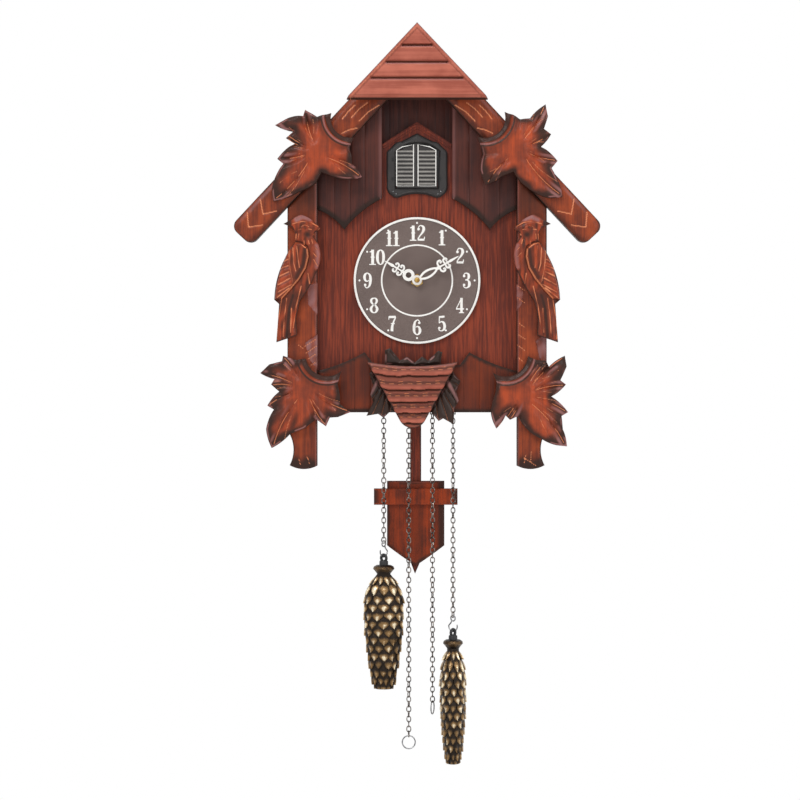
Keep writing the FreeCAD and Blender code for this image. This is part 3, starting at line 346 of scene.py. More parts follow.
PLASTICS = [
    ("hand_enamel", (236, 232, 226), (250, 248, 244), 0.35, 0.8, 0.02),
    ("slat_plastic", (132, 128, 124), (160, 156, 150), 0.4, 0.6, 0.05, 9),
    ("door_plastic", (34, 31, 31), (50, 46, 45), 0.5, 0.6, 0.12, 9),
    ("black_plastic", (26, 26, 27), (40, 40, 42), 0.5, 0.6, 0.08),
    ("bird_plastic", (150, 92, 58), (178, 118, 76), 0.5, 1.2, 0.12, 5),
]
METALS = [
    ("brass_trim", (214, 178, 104), (150, 112, 58), 0.25, 5),
    ("zinc_steel", (168, 168, 170), (96, 96, 98), 0.28, 3),
    ("antique_steel", (172, 162, 154), (54, 49, 47), 0.3, 2.6, 0.55),
]
FINISHES |= finishes(plastic, PLASTICS)
FINISHES |= finishes(metal, METALS)
print("plastics:", len(PLASTICS), "metals:", len(METALS))


# %% Bronze for the weights
def bronze():
    """Bronzed casting, dark in the hollows and gold on the tips: the mesh's mask `proud_and_shine` is 1 on
    the tips of the scales and 0 in the hollows, and, as painted light, stronger on the upper rows; where it
    is highest a near-white highlight is painted.
    """
    material, shader, wire = finish("bronze_cast", {"Metallic": 0.85})
    proud_and_shine = wire.mask("proud_and_shine")
    patch = wire.noise(5, 4.0, 0.65)
    grain = wire.noise(0.7)
    gold = (proud_and_shine * 1.1 + (patch - 0.5) * 0.9 + (grain - 0.5) * 0.3).step(0.24, 0.95)
    # A near-white highlight painted on the brightest tips.
    painted_glint = (proud_and_shine + (patch - 0.5) * 1.1).step(0.72, 1.12)
    tone = wire.mix(gold, colour(40, 33, 28), colour(146, 114, 74))
    feed(wire, shader, Base_Color=wire.mix(painted_glint, tone, colour(238, 222, 190)), Roughness=0.4 - gold * 0.16,
         Normal=bumped(wire, grain + patch * 1.5, 0.25))
    return material


FINISHES["bronze_cast"] = bronze()
print("tips and hollows of the weights share the finish", FINISHES["bronze_cast"].name)


# %% The dial and the battery
def dial_face():
    """The dial: a ribbed hour band round a smooth disc, and a shadow painted just inside the raised rim,
    found from the distance to its own centre.
    """
    low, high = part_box("dial_plate")
    centre = (low + high) / 2
    material, shader, wire = finish("dial_plastic", {"Specular IOR Level": 0.3})
    flat = wire.make("ShaderNodeVectorMath", {"operation": "MULTIPLY_ADD"},
                     {0: wire.coords(), 1: (1, 0, 1), 2: (-centre.x, 0, -centre.z)})
    radius = wire.make("ShaderNodeVectorMath", {"operation": "LENGTH"}, {0: flat}, "Value") * (1 / MM)
    inner_edge, outer_edge, shadow_edge = (32.6, 33.0), (56.4, 56.8), (55.6, 56.6)
    band = radius.step(*inner_edge) * (1 - radius.step(*outer_edge))
    turned = wire.math("SINE", radius * 5.2)
    grain = wire.noise(0.55, 2.0)
    patch = wire.noise(30, 2.0)
    share = (0.5 + (grain - 0.5) * 1.3 * band + (patch - 0.5) * 0.5).step(0.15, 0.85)
    # A shadow is painted just inside the raised rim.
    rim = radius.step(*shadow_edge)
    tone = wire.mix(share, colour(92, 78, 74), colour(122, 106, 100))
    feed(wire, shader, Base_Color=wire.mix(rim * 0.8, tone, colour(52, 42, 40)), Roughness=0.55 - band * 0.1,
         Normal=bumped(wire, turned * band * 0.4 + grain * band, 0.12))
    return material


def battery_foil():
    """A generic cell: a dark sleeve with a copper-coloured end, split at a place along its axis."""
    low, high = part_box("battery")
    material, shader, wire = finish("battery_foil", {"Coat Weight": 0.4, "Coat Roughness": 0.1})
    along = wire.make("ShaderNodeSeparateXYZ", None, {"Vector": wire.coords()}, "X")
    split = low.x + 0.72 * (high.x - low.x)
    end = along.step(split - 0.2 * MM, split + 0.2 * MM)
    scratch = wire.noise((12, 0.8, 0.8))
    tone = wire.mix(end, colour(38, 38, 42), colour(196, 128, 72))
    feed(wire, shader, Base_Color=wire.mix(scratch.step(0.62, 0.8) * 0.25, tone, colour(210, 205, 200)),
         Roughness=0.3 + scratch * 0.2, Metallic=end * 0.8, Normal=bumped(wire, scratch, 0.03))
    return material


FINISHES["dial_plastic"] = dial_face()
FINISHES["battery_foil"] = battery_foil()
print("finishes:", len(FINISHES))

# %% A finish on every node of the frame
slot_of = {row["node"]: row["material_slot"] for row in frame["record"]["subparts"]}
for name, node in frame["nodes"].items():
    node.data.materials.clear()
    worn = "roof_wood" if name.startswith("roof_board") else slot_of[name]
    node.data.materials.append(FINISHES[worn])
print("nodes finished:", len(slot_of))

# %% [markdown]
# ## Carving tools
# A carved board has a flat back, an upright edge and a front that rises and falls. It is made like
# this: take the outline from the frame's board, fill it with an even net of points, join the points
# to triangles, and let one function say for each point how deep the surface lies there. The same
# function also says where a cut opened the wood, where spray and painted shade darken it, and where a
# highlight is painted on a bevel.
# All lengths from here on are in millimetres until a mesh is made.


# %% Outlines and distances
def outlines(node, rear=False):
    """The edges of a board's front (or rear) face as rings of (x, z), from the left to the right."""
    mesh = bmesh.new()
    mesh.from_mesh(frame["nodes"][node].data)
    bmesh.ops.remove_doubles(mesh, verts=mesh.verts, dist=1e-6)
    low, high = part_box(node)
    level = high.y if rear else low.y
    flat = [f for f in mesh.faces if all(abs(v.co.y - level) < 2e-5 for v in f.verts)]
    chosen = set(flat)
    follows = {}
    for face in flat:
        for loop in face.loops:
            if sum(other in chosen for other in loop.edge.link_faces) == 1:
                follows[loop.vert] = loop.link_loop_next.vert
    loops = []
    while follows:
        vert, after = follows.popitem()
        ring = [vert]
        while after in follows:
            ring.append(after)
            after = follows.pop(after)
        loops.append(np.array([(v.co.x, v.co.z) for v in ring]) / MM)
    mesh.free()
    loops.sort(key=lambda ring: ring[:, 0].mean())
    return [ring[::-1] if turn_of(ring) < 0 else ring for ring in loops]


def outline(node, rear=False):
    """The outer edge of a board's front (or rear) face, counter-clockwise in (x, z)."""
    return max(outlines(node, rear), key=lambda ring: np.ptp(ring[:, 0]) * np.ptp(ring[:, 1]))


def turn_of(ring):
    """Twice the area inside a ring: positive where it runs counter-clockwise."""
    after = np.roll(ring, -1, 0)
    return float(np.sum(ring[:, 0] * after[:, 1] - after[:, 0] * ring[:, 1]))


def divided(ring, spacing):
    """The ring with points added so that no chord is longer than spacing."""
    points = []
    for a, b in zip(ring, np.roll(ring, -1, 0)):
        parts = max(1, math.ceil(np.linalg.norm(b - a) / spacing))
        points += [a + (b - a) * k / parts for k in range(parts)]
    return np.array(points)


def away(points, line, closed=False):
    """Distance from each point to a line through some corners."""
    line = np.asarray(line, float)
    ends = np.roll(line, -1, 0) if closed else line[1:]
    nearest = np.full(len(points), 1e6)
    for a, b in zip(line, ends):
        along = b - a
        share = np.clip(((points - a) @ along) / max(along @ along, 1e-12), 0, 1)
        nearest = np.minimum(nearest, np.hypot(*(points - a - share[:, None] * along).T))
    return nearest


def within(points, ring):
    """True for the points inside a ring."""
    x, z = points.T
    odd = np.zeros(len(points), bool)
    for (ax, az), (bx, bz) in zip(ring, np.roll(ring, -1, 0)):
        crosses = (az > z) != (bz > z)
        odd ^= crosses & (x < (bx - ax) * (z - az) / ((bz - az) or 1) + ax)
    return odd


print("the front board's outline has", len(outline("front_board")), "corners")


# %% Soft steps, lines and strokes
def rise(values, low, high):
    """0 below low, 1 above high and smooth between."""
    share = np.clip((values - low) / (high - low), 0, 1)
    return share * share * (3 - 2 * share)


def ridge(distance, width):
    """1 where the distance is 0, falling off smoothly over the width."""
    return np.exp(-((distance / width) ** 2))


def from_lines(points, lines):
    """Distance from each point to the nearest of several lines."""
    return np.min([away(points, line) for line in lines], 0)


def strokes(points, lines, width):
    """1 in the middle of the nearest stroke and 0 beyond its width."""
    return ridge(from_lines(points, lines), width)


def placed(lines, sign, x=0.0, z=0.0):
    """Lines drawn from an edge or a middle, set in their place; a negative sign mirrors them."""
    return [np.array([(x + sign * across, z + up) for across, up in line]) for line in lines]


def run_of(ring, chosen):
    """The chosen corners of a ring as one line from the left to the right."""
    line = ring[chosen]
    return line[np.argsort(line[:, 0])]


def wobble(points, size, seed=1):
    """Smooth uneven values of about -1 to 1 that change over `size` millimetres."""
    random = np.random.default_rng(seed)
    total = np.zeros(len(points))
    for _ in range(6):
        angle, phase = random.uniform(0, 2 * math.pi, 2)
        wave = 2 * math.pi / (size * random.uniform(0.8, 2.2))
        total += np.sin(points @ (math.cos(angle), math.sin(angle)) * wave + phase)
    return np.clip(total / 3, -1, 1)


sample = wobble(np.array([(x, 0.0) for x in range(100)]), 10)
print("wobble over 100 mm:", round(sample.min(), 2), "to", round(sample.max(), 2))

# %% From outline to carved mesh
bodies = frame["record"]["behaviour"]["bodies"]
body_of = {node: body for body, members in bodies.items() for node in members}
print("bodies:", list(bodies))


def settle(made, node):
    """The piece stands for this frame node, which is hidden: it rides on its body."""
    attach(made, body_of[node])
    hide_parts(node)


def piece(name, verts, faces, material, masks=None, sharp=40):
    """A mesh object with smooth faces and crisp edges; verts are in millimetres."""
    mesh = bpy.data.meshes.new(name)
    mesh.from_pydata((np.asarray(verts, float) * MM).tolist(), [], faces)
    for mask, values in (masks or {}).items():
        mesh.attributes.new(mask, "FLOAT", "POINT").data.foreach_set("value", np.asarray(values, np.float32))
    mesh.shade_smooth()
    mesh.set_sharp_from_angle(angle=math.radians(sharp))
    mesh.materials.append(FINISHES[material])
    made = bpy.data.objects.new(name, mesh)
    scene.collection.objects.link(made)
    return made


def triangles(points, rim_count):
    """Triangles that fill a ring of the first rim_count points, with the other points inside it."""
    rim = [(i, (i + 1) % rim_count) for i in range(rim_count)]
    _, _, faces, origin, _, _ = delaunay_2d_cdt([Vector(p) for p in points], rim, [], 1, 1e-5)
    first = [source[0] for source in origin]
    return [tuple(first[i] for i in face) for face in faces]


def net(ring, spacing, columns):
    """The rim's points, then an even net of points inside it; columns sets the net's x places."""
    rim = divided(ring, spacing)
    low, high = rim.min(0), rim.max(0)
    points = []
    for row, z in enumerate(np.arange(low[1] + spacing / 2, high[1], spacing * 0.87)):
        xs = np.arange(low[0] + spacing * (row % 2) / 2, high[0], spacing) if columns is None else columns
        points += [(x, z) for x in xs]
    points = np.array(points)
    points = points[within(points, ring)]
    points = points[away(points, ring, True) > spacing * 0.4]
    return rim, np.vstack([rim, points])


def carve(name, node, shape, spacing, ring=None, depths=None, columns=None, place=None):
    """A carved board that stands for a node; shape(points, edge) gives insets from the front, and masks."""
    ring = outline(node) if ring is None else ring
    low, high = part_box(node)
    back, front = depths or (-high.y / MM, -low.y / MM)
    rim, points = net(ring, spacing, columns)
    inset, masks = shape(points, away(points, ring, True))
    inset = np.clip(inset, 0, front - back - 0.8)
    count, rims = len(points), len(rim)
    verts = np.column_stack([points[:, 0], inset - front, points[:, 1]])
    rear = np.column_stack([rim[:, 0], np.full(rims, -back), rim[:, 1]])
    verts = np.vstack([verts, rear])
    if place:
        verts = place(verts)
    faces = triangles(points, rims)
    faces += [tuple(count + i for i in reversed(face)) for face in triangles(rim, rims)]
    for i in range(rims):
        j = (i + 1) % rims
        faces.append((i, count + i, count + j, j))
    masks = {mask: np.concatenate([values, values[:rims]]) for mask, values in masks.items()}
    made = piece(name, verts, faces, slot_of[node], masks)
    settle(made, node)
    print(f"{name}: {len(faces)} faces")


# %% [markdown]
# ## Planked boards
# The dark boards beside the door and the lower board are grooved to look like upright planks. A groove
# is a shallow V with a shadow painted into it, and the planks' lower ends are sprayed dark. A highlight
# is painted along the inner edge of each board beside the door. The net's columns follow the grooves,
# so a coarse net is enough.


# %% Planked boards
def planks(node, grooves, spray, light_edge, width, depth):
    """Grooves are x places; spray(points, edge) is how dark the board is made; light_edge is the x place of a
    painted highlight.
    """
    ring = outline(node)
    lines = grooves if light_edge is None else [*grooves, light_edge]
    inner = [x for line in lines for x in (line - width, line, line + width)]
    spread = np.arange(ring[:, 0].min() + 1.5, ring[:, 0].max(), 3.5)
    spread = [x for x in spread if all(abs(x - other) > 1.4 for other in inner)]
    columns = sorted(inner + spread)

    def shape(points, edge):
        groove = np.min([np.abs(points[:, 0] - x) for x in grooves], 0)
        cut = np.clip(1 - groove / width, 0, 1)
        bevel = 0.7 * (1 - rise(edge, 0, 1.0))
        # The paint, plus a shadow painted into each groove.
        burnt = np.clip(spray(points, edge) + cut * 0.3 + 0.12 * wobble(points, 30), 0, 1)
        # A painted highlight, with a pale orange line, along the light edge.
        light = np.zeros(len(points))
        if light_edge is not None:
            light = ridge(np.abs(points[:, 0] - light_edge), 0.9) * 0.8
        return cut * depth + bevel, {"burnt": burnt * (1 - light), "cut": light * 0.6, "pale": light}

    carve(node + ".carved", node, shape, 3.0, ring, columns=columns)


SIDE_GROOVES, SLANT_RISE, SIDE_SPRAY, GROOVE = (48.4, 62.0, 76.5), 34, 6.5, 0.6


def near_bottom(node):
    """Spray that is thick along the lower, slanting end of a board."""
    ring = outline(node)
    slant = run_of(ring, ring[:, 1] < ring[:, 1].min() + SLANT_RISE)
    return lambda points, edge: 1 - rise(away(points, slant), SIDE_SPRAY * 0.25, SIDE_SPRAY)


for side, sign in (("left", -1), ("right", 1)):
    node = f"plank_panel_{side}"
    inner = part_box(node)[1 if sign < 0 else 0].x / MM
    planks(node, [sign * x for x in SIDE_GROOVES], near_bottom(node), inner + sign, GROOVE, 0.5)

# %% The lower panel and the gable board
LOWER_GROOVES, GABLE_GROOVES = (12, 27.5, 43, 58, 73.5), (9, 17.5, 26, 34)
PEAKS_ABOVE = -235
foot_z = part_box("lower_panel")[0].z / MM
lower_ring = outline("lower_panel")
peaks = run_of(lower_ring, lower_ring[:, 1] > PEAKS_ABOVE)


def lower_spray(points, edge):
    # Darker just under the peaks of the board in front, and towards the foot.
    top = 1 - rise(away(points, peaks), 0.8, 4.5)
    foot = 1 - rise(points[:, 1] - foot_z, 1.0, 6)
    return np.maximum(top, foot)


def gable_spray(points, edge):
    return 0.04 * np.sin(points[:, 0] * 0.7)


planks("lower_panel", [sign * x for sign in (-1, 1) for x in LOWER_GROOVES], lower_spray, None, GROOVE, 0.35)
gable_grooves = [-x for x in reversed(GABLE_GROOVES)] + [0, *GABLE_GROOVES]
planks("gable_board", gable_grooves, gable_spray, None, GROOVE, 0.25)

# %% [markdown]
# ## Carved leaves
# Each leaf is a thick board whose lobes spread from a boss. As a carver cuts it from lime wood, the
# surface falls from the boss to the tips, every lobe is hollowed along its vein, and a vein is one
# stroke of a V-gouge. A round recess with a rolled rim takes up one corner at the top of the leaf.


# %% Tips, notches and veins
SHARPEST = 42


def corners(ring, sharpest):
    """Corners of a ring that turn outwards (tips) and inwards (notches) by more than an angle."""
    before, after = ring - np.roll(ring, 1, 0), np.roll(ring, -1, 0) - ring
    turn = np.degrees(np.arctan2(before[:, 0] * after[:, 1] - before[:, 1] * after[:, 0],
                                 np.sum(before * after, 1)))
    return ring[turn > sharpest], ring[turn < -sharpest / 2]


def vein(start, end, bend):
    """A shallow curve from start to end, bent sideways by a share of its length."""
    along = end - start
    side = np.array([-along[1], along[0]]) * bend
    shares = np.linspace(0, 1, 9)[:, None]
    return start + along * shares + side * 4 * shares * (1 - shares)


print("tips and notches of a leaf:", [len(found) for found in corners(outline("leaf_upper_left"), SHARPEST)])


# %% Leaves
def leaf(node, drawn_at, boss, crescent, radius, bend):
    """A leaf whose boss and whose round recess (crescent, radius) are measured from where it is drawn."""
    ring = outline(node)
    boss, crescent = np.add(drawn_at, boss), np.add(drawn_at, crescent)
    tips, notches = corners(ring, SHARPEST)
    tips = [tip for tip in tips if np.linalg.norm(tip - crescent) > radius + 3]
    veins = [vein(boss + (tip - boss) * 0.2, boss + (tip - boss) * 0.93, bend) for tip in tips]
    folds = [vein(notch, boss + (notch - boss) * 0.3, bend / 2) for notch in notches
             if np.linalg.norm(notch - crescent) > radius + 2]
    extra = []
    for tip in tips:
        across = np.array([boss[1] - tip[1], tip[0] - boss[0]]) * 0.11
        for side, start, end in ((1, 0.3, 0.8), (-1, 0.42, 0.74)):
            extra.append(vein(boss + (tip - boss) * start + across * side * 0.3,
                              boss + (tip - boss) * end + across * side, bend * side))

    def shape(points, edge):
        reach = np.linalg.norm(points - boss, axis=1)
        from_vein, from_extra, from_fold = (from_lines(points, lines) for lines in (veins, extra, folds))
        from_tip = np.min([np.linalg.norm(points - tip, axis=1) for tip in tips], 0)
        band = np.linalg.norm(points - crescent, axis=1) - radius
        outer = rise(reach, 6, 15)
        tip_zone = 1 - rise(from_tip, 5, 26)
        fall = 3.4 * (reach / 60) ** 1.5 + 1.2 * tip_zone
        hollow = 2.5 * ridge(from_vein, 4.2) * outer
        gouge = ridge(from_vein, 0.5) * outer
        fine = 0.8 * ridge(from_extra, 0.42) * outer
        fold = 2.2 * (1 - rise(from_fold, 0, 5.5)) * rise(reach, 10, 26)
        sunk = 3.6 * (1 - rise(band, 2.8, 7.4)) - 0.8 * (1 - rise(band, 0, 1.6))
        roll = ridge(band - 9.0, 1.7)
        bevel = 1.7 * ridge(edge, 1.6)
        grain = 0.16 * wobble(points, 5, 3)
        inset = 0.6 + fall + hollow + 0.8 * gouge + 0.5 * fine + fold + sunk + bevel + grain - 0.6 * roll
        ragged = 1.6 * wobble(points, 11, 5) + 0.7 * wobble(points, 4, 6)
        width = 7.0 + 19 * tip_zone ** 1.2
        burnt = np.clip(1.12 - (edge + ragged * 0.6) / width, 0, 1) ** 1.2
        # Painted shade in the round recess, in a line and a hollow beside its rim, in the folds and in the
        # hollows along the veins; the edges and tips above are the dark spray.
        burnt = np.maximum(burnt, 0.94 * (1 - rise(band, 3.8, 5.6)))
        burnt = np.maximum(burnt, 0.95 * ridge(band - 7.9, 0.8) + 0.4 * ridge(band - 10.5, 4))
        burnt = np.maximum(burnt, 0.7 * fold / 2.2 * rise(reach, 12, 34))
        burnt = np.maximum(burnt, 0.5 * ridge(from_vein, 3.4) * rise(reach, 14, 40))
        # Painted highlights: a glint by the edges, a band on the rolled rim and a light side beside each
        # vein.
        glint = ridge(edge - 1.1, 0.65) * rise(wobble(points, 14, 7), -0.1, 0.5) * rise(reach, 22, 36)
        side_light = ridge(from_vein - 3.0, 1.7) * tip_zone ** 0.7 * 0.95
        side_light *= rise(wobble(points, 16, 9), -0.4, 0.4)
        hollow_light = ridge(band - 6.2, 0.95) * rise(wobble(points, 30, 2), -0.9, 0.2)
        glint *= rise(band, 3, 5)
        pale = np.maximum.reduce([glint, hollow_light * 0.95, side_light])
        broken = rise(wobble(points, 14, 11), -0.75, -0.1) * (0.5 + 0.5 * outer)
        cut = np.maximum(gouge * broken, fine * rise(wobble(points, 9, 12), -0.5, 0.1)) * 0.9
        return inset, {"burnt": burnt * (1 - pale * 0.6), "cut": cut, "pale": pale}

    carve(node + ".carved", node, shape, 0.8, ring)


LEAVES = {
    "leaf_upper_left": ((-96, -32.1), (4, 3.4), (35.3, 36.4), 19.2, 0.05),
    "leaf_upper_right": ((96, -32.1), (-4.5, 6.2), (-34, 36.4), 19.2, -0.05),
    "leaf_lower_left": ((-106, -256), (2, 12), (23.0, 41.9), 19.8, -0.05),
    "leaf_lower_right": ((106, -256), (-8.6, 6.3), (-24.5, 42), 20.2, 0.05),
}
for node, values in LEAVES.items():
    leaf(node, *values)

# %% [markdown]
# ## Rafters and posts
# The barge boards under the roof are rounded along their edges and chip-carved near both ends: two
# chevrons of single gouge strokes at the foot, four long strokes near the top. The cap rests on their
# tops, so there the board is planed down to the lean of the cap.

# %% Rafters
CAP_LOW, CAP_HIGH = (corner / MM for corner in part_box("hip_cap"))
CAP_BASE, CAP_APEX, CAP_BACK, CAP_LEAN = CAP_LOW.z, 91.5, -CAP_HIGH.y, 23.0
RIDGE_TOP, EAVE = (0, 89), (170.5, -93.8)


def cap_depth(z):
    """Depth of the rear face of the cap at a height."""
    return CAP_BACK + CAP_LEAN * (CAP_APEX - z) / (CAP_APEX - CAP_BASE)


RAFTER_STROKES = [
    [(57.2, 16), (63, 10.5), (69, 3)], [(45.5, 18), (53, 12.5), (60.5, 4.5)],
    [(35, 16), (45, 9.5), (53.5, 1)], [(55.4, -5.3), (63, -7), (69.5, -10)],
    [(144.5, -70.5), (142, -84.5)], [(142, -84.5), (129.5, -81.7)],
    [(156.5, -82.5), (155.3, -96.5)], [(155.3, -96.5), (142, -94.6)],
]


def rafter(side, sign):
    node = f"rafter_{side}"
    ring = outline(node, rear=True)
    marks = placed(RAFTER_STROKES, sign)
    top_edge = placed([(RIDGE_TOP, EAVE)], sign)[0]
    front = -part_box(node)[0].y / MM

    def shape(points, edge):
        stroke = strokes(points, marks, 0.62)
        from_top = away(points, top_edge)
        round_edge = 2.6 * ridge(edge, 2.6) + 0.8 * ridge(from_top, 5)
        inset = 0.3 + round_edge + 0.8 * stroke + 0.15 * wobble(points, 9)
        planed = front - (cap_depth(points[:, 1]) - 0.4)
        under_cap = points[:, 1] > CAP_BASE - 4
        inset = np.where(under_cap, np.maximum(inset, planed), inset)
        rim = 1 - rise(edge + 0.5 * wobble(points, 12), 0.2, 1.5)
        # A highlight painted along the rounded top edge.
        sheen = ridge(from_top - 3.2, 1.9) * (0.55 + 0.45 * wobble(points, 40)) * 0.8
        # Darker near the other edges, away from the top.
        darkening = 0.5 * (1 - rise(edge, 1, 9)) * rise(from_top, 14, 24)
        return inset, {"burnt": np.maximum(rim * 0.9, darkening), "cut": stroke, "pale": sheen}

    carve(node + ".carved", node, shape, 1.1, ring)


rafter("left", -1)
rafter("right", 1)

# %% [markdown]
# The posts at the sides are square in section, with small facets sliced off their edges and a few
# slanting chip cuts beside the bird, above the lower leaf and near the foot. Their feet are scooped on
# the outside and sprayed nearly black.

# %% Posts
# Places on a post are distances from its inner edge and heights. The two posts are cut differently.
POST_CUTS = {
    "left": [[(12, -206.5), (1, -199.5)],
             [(10.5, -212.5), (1, -206)], [(8.5, -218), (1, -213)], [(5.5, -223.5), (0.8, -220.5)],
             [(17, -205), (13, -208)], [(9.5, -307), (7, -314)], [(17, -309), (15.5, -315)]],
    "right": [[(0.5, -195), (7.5, -199.6)], [(0.5, -205), (7.5, -210.4)], [(0.5, -216), (6, -220.8)],
              [(0.5, -150), (7, -155)], [(0.5, -161), (6.5, -166)], [(2, -185), (6.5, -188.5)],
              [(8, -306), (6.5, -314)], [(13, -303), (12.5, -312)], [(17, -316), (6, -309)]],
}
POST_FACETS = {
    "left": [[(9.7, -150), (-1, -146.5), (-1, -179), (8.8, -168)],
             [(11.9, -202.6), (-1, -194), (-1, -229.5), (7.2, -219.5)]],
    "right": [[(16.6, -201), (28, -192), (28, -226), (20, -217)],
              [(6.5, -152), (-1, -148), (-1, -176), (5.5, -166)]],
}


def post(side, sign):
    node = f"post_{side}"
    low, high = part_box(node)
    inner = (low.x if sign > 0 else high.x) / MM
    cuts, facets = placed(POST_CUTS[side], sign, inner), placed(POST_FACETS[side], sign, inner)
    foot = low.z / MM

    def shape(points, edge):
        stroke = strokes(points, cuts, 0.42)
        facet = np.zeros(len(points))
        for ring in facets:
            deep = np.where(within(points, ring), away(points, ring, True), 0)
            facet = np.maximum(facet, rise(deep, 0.1, 0.9))
        from_inner = np.abs(points[:, 0] - inner)
        inset = 1.6 * ridge(edge, 1.5) + 1.8 * facet + 0.9 * stroke + 0.3
        scoop = 1 - rise(points[:, 1] - foot + 2 * wobble(points, 9), 5, 17)
        darkening = np.maximum(scoop, 1 - rise(edge, 0.2, 1.6))
        # Darker towards the top of the post.
        top = 0.55 * rise(points[:, 1], -112, -70)
        # Painted highlights on the facets and along a line by the inner edge.
        line = ridge(from_inner - 1.2, 0.7) * 0.6
        pale = np.maximum(facet * (0.72 + 0.3 * wobble(points, 7)), line)
        return inset + 0.12 * wobble(points, 6), {
            "burnt": np.clip(np.maximum(darkening, top) - pale * 0.8, 0, 1), "cut": stroke, "pale": pale}

    carve(node + ".carved", node, shape, 1.1)


post("left", -1)
post("right", 1)

# %% [markdown]
# ## Woodpeckers
# Each bird clings to its post with the head turned outwards. The carver leaves the wing standing
# proud of the body, strokes the covert feathers upright, cuts the flight feathers aslant, and rounds
# the head and the tail. Every feather is one gouge stroke, so the bird is a list of short lines.

# %% The strokes of a bird
# Places are measured from the middle of the post, at a height in the middle of the bird.
BIRD_MIDDLE = -147.5
EYE, BEAK_TIP, CHEEK, WING_FRONT = (3.1, 50.2), (-17, 54), (5, 43.8), (-10.5, 0)
WING = [(-7, 37), (-1, 36), (4.5, 32.5), (6, 27), (5.8, 22), (3.2, 13), (-2.8, 2.8), (-11.3, -7.3),
        (-19, -15), (-25.5, -16), (-23.5, -4), (-19.5, 12), (-13, 28)]
HEAD_CUTS = [[(-8.7, 53.7), (0.6, 55.9), (8.3, 55), (15, 51.2)], [(9.5, 58.4), (14.2, 53.7), (16.7, 50.8)],
             [(-0.8, 50.6), (1.2, 52.2), (3.1, 52.6), (5.2, 52), (6.6, 50.6)], [(-3.5, 48.4), (-0.6, 48.9)],
             [(6, 49), (9, 48.4)], [(10.5, 43.5), (13.4, 46.5), (16.2, 49.6)]]
NECK_CUTS = [[(-5.3, 44.5), (-5.8, 39)], [(-2.8, 44.5), (-3.4, 40)], [(13.2, 42), (14.4, 38.5)],
             [(9, 39.5), (10, 35.5)], [(2, 38.3), (2.4, 34.8)], [(6, 38.6), (6.8, 35.2)]]
COVERT_CUTS = [[(-11.7, 31.2), (-11.3, 20), (-10.5, 11.7), (-7.9, -0.2)],
               [(-8, 31.5), (-7.2, 17), (-5.3, 9.9)],
               [(-4.5, 33), (-3, 20), (-1.9, 13.3)], [(-6, 36.2), (-1, 34.8), (3.6, 31.4)]]
FLIGHT_CUTS = [[(-16.5, 19), (-12.6, 20.8)], [(-19.8, 12.5), (-12.3, 15)], [(-20.6, 5.3), (-11.7, 9.5)],
               [(-21.5, -2.4), (-10.4, 3.6)], [(-21.9, -9.2), (-8.7, -1.9)], [(-22.5, -14), (-11.5, -5.5)]]
WING_EDGE = [(4.9, 30.3), (5.7, 23.5), (3.2, 13.3), (-2.8, 3.1), (-11.3, -7), (-18.5, -14.7)]
BREAST_CUTS = [[(10.4, 27), (13.3, 23.5)], [(10.8, 21), (14.2, 15)], [(5.7, 8.2), (7, -1)],
               [(12, 32), (14, 30)]]
TAIL_CUTS = [[(-18.5, -15), (-22, -35), (-22.5, -52)], [(-13.8, -14.7), (-16, -32), (-17.2, -50)],
             [(-0.6, -3.6), (-5.3, -22), (-8, -42)], [(-9.5, -24), (-10.4, -46)]]
ALL_CUTS = HEAD_CUTS + NECK_CUTS + COVERT_CUTS + FLIGHT_CUTS + BREAST_CUTS + TAIL_CUTS
DARK_FLANK, DARK_TAIL = [(3.2, 30), (1.5, 16), (-5, 4)], [(-8, -12), (-11.5, -24), (-14, -52)]
# Lines of painted highlight along the breast and the crown.
PALE_BREAST, PALE_CAP = [(13.5, 34), (15, 26), (13.5, 14)], [(-5, 57.3), (1, 60.2), (7.5, 58)]
print("strokes of a bird:", len(ALL_CUTS))

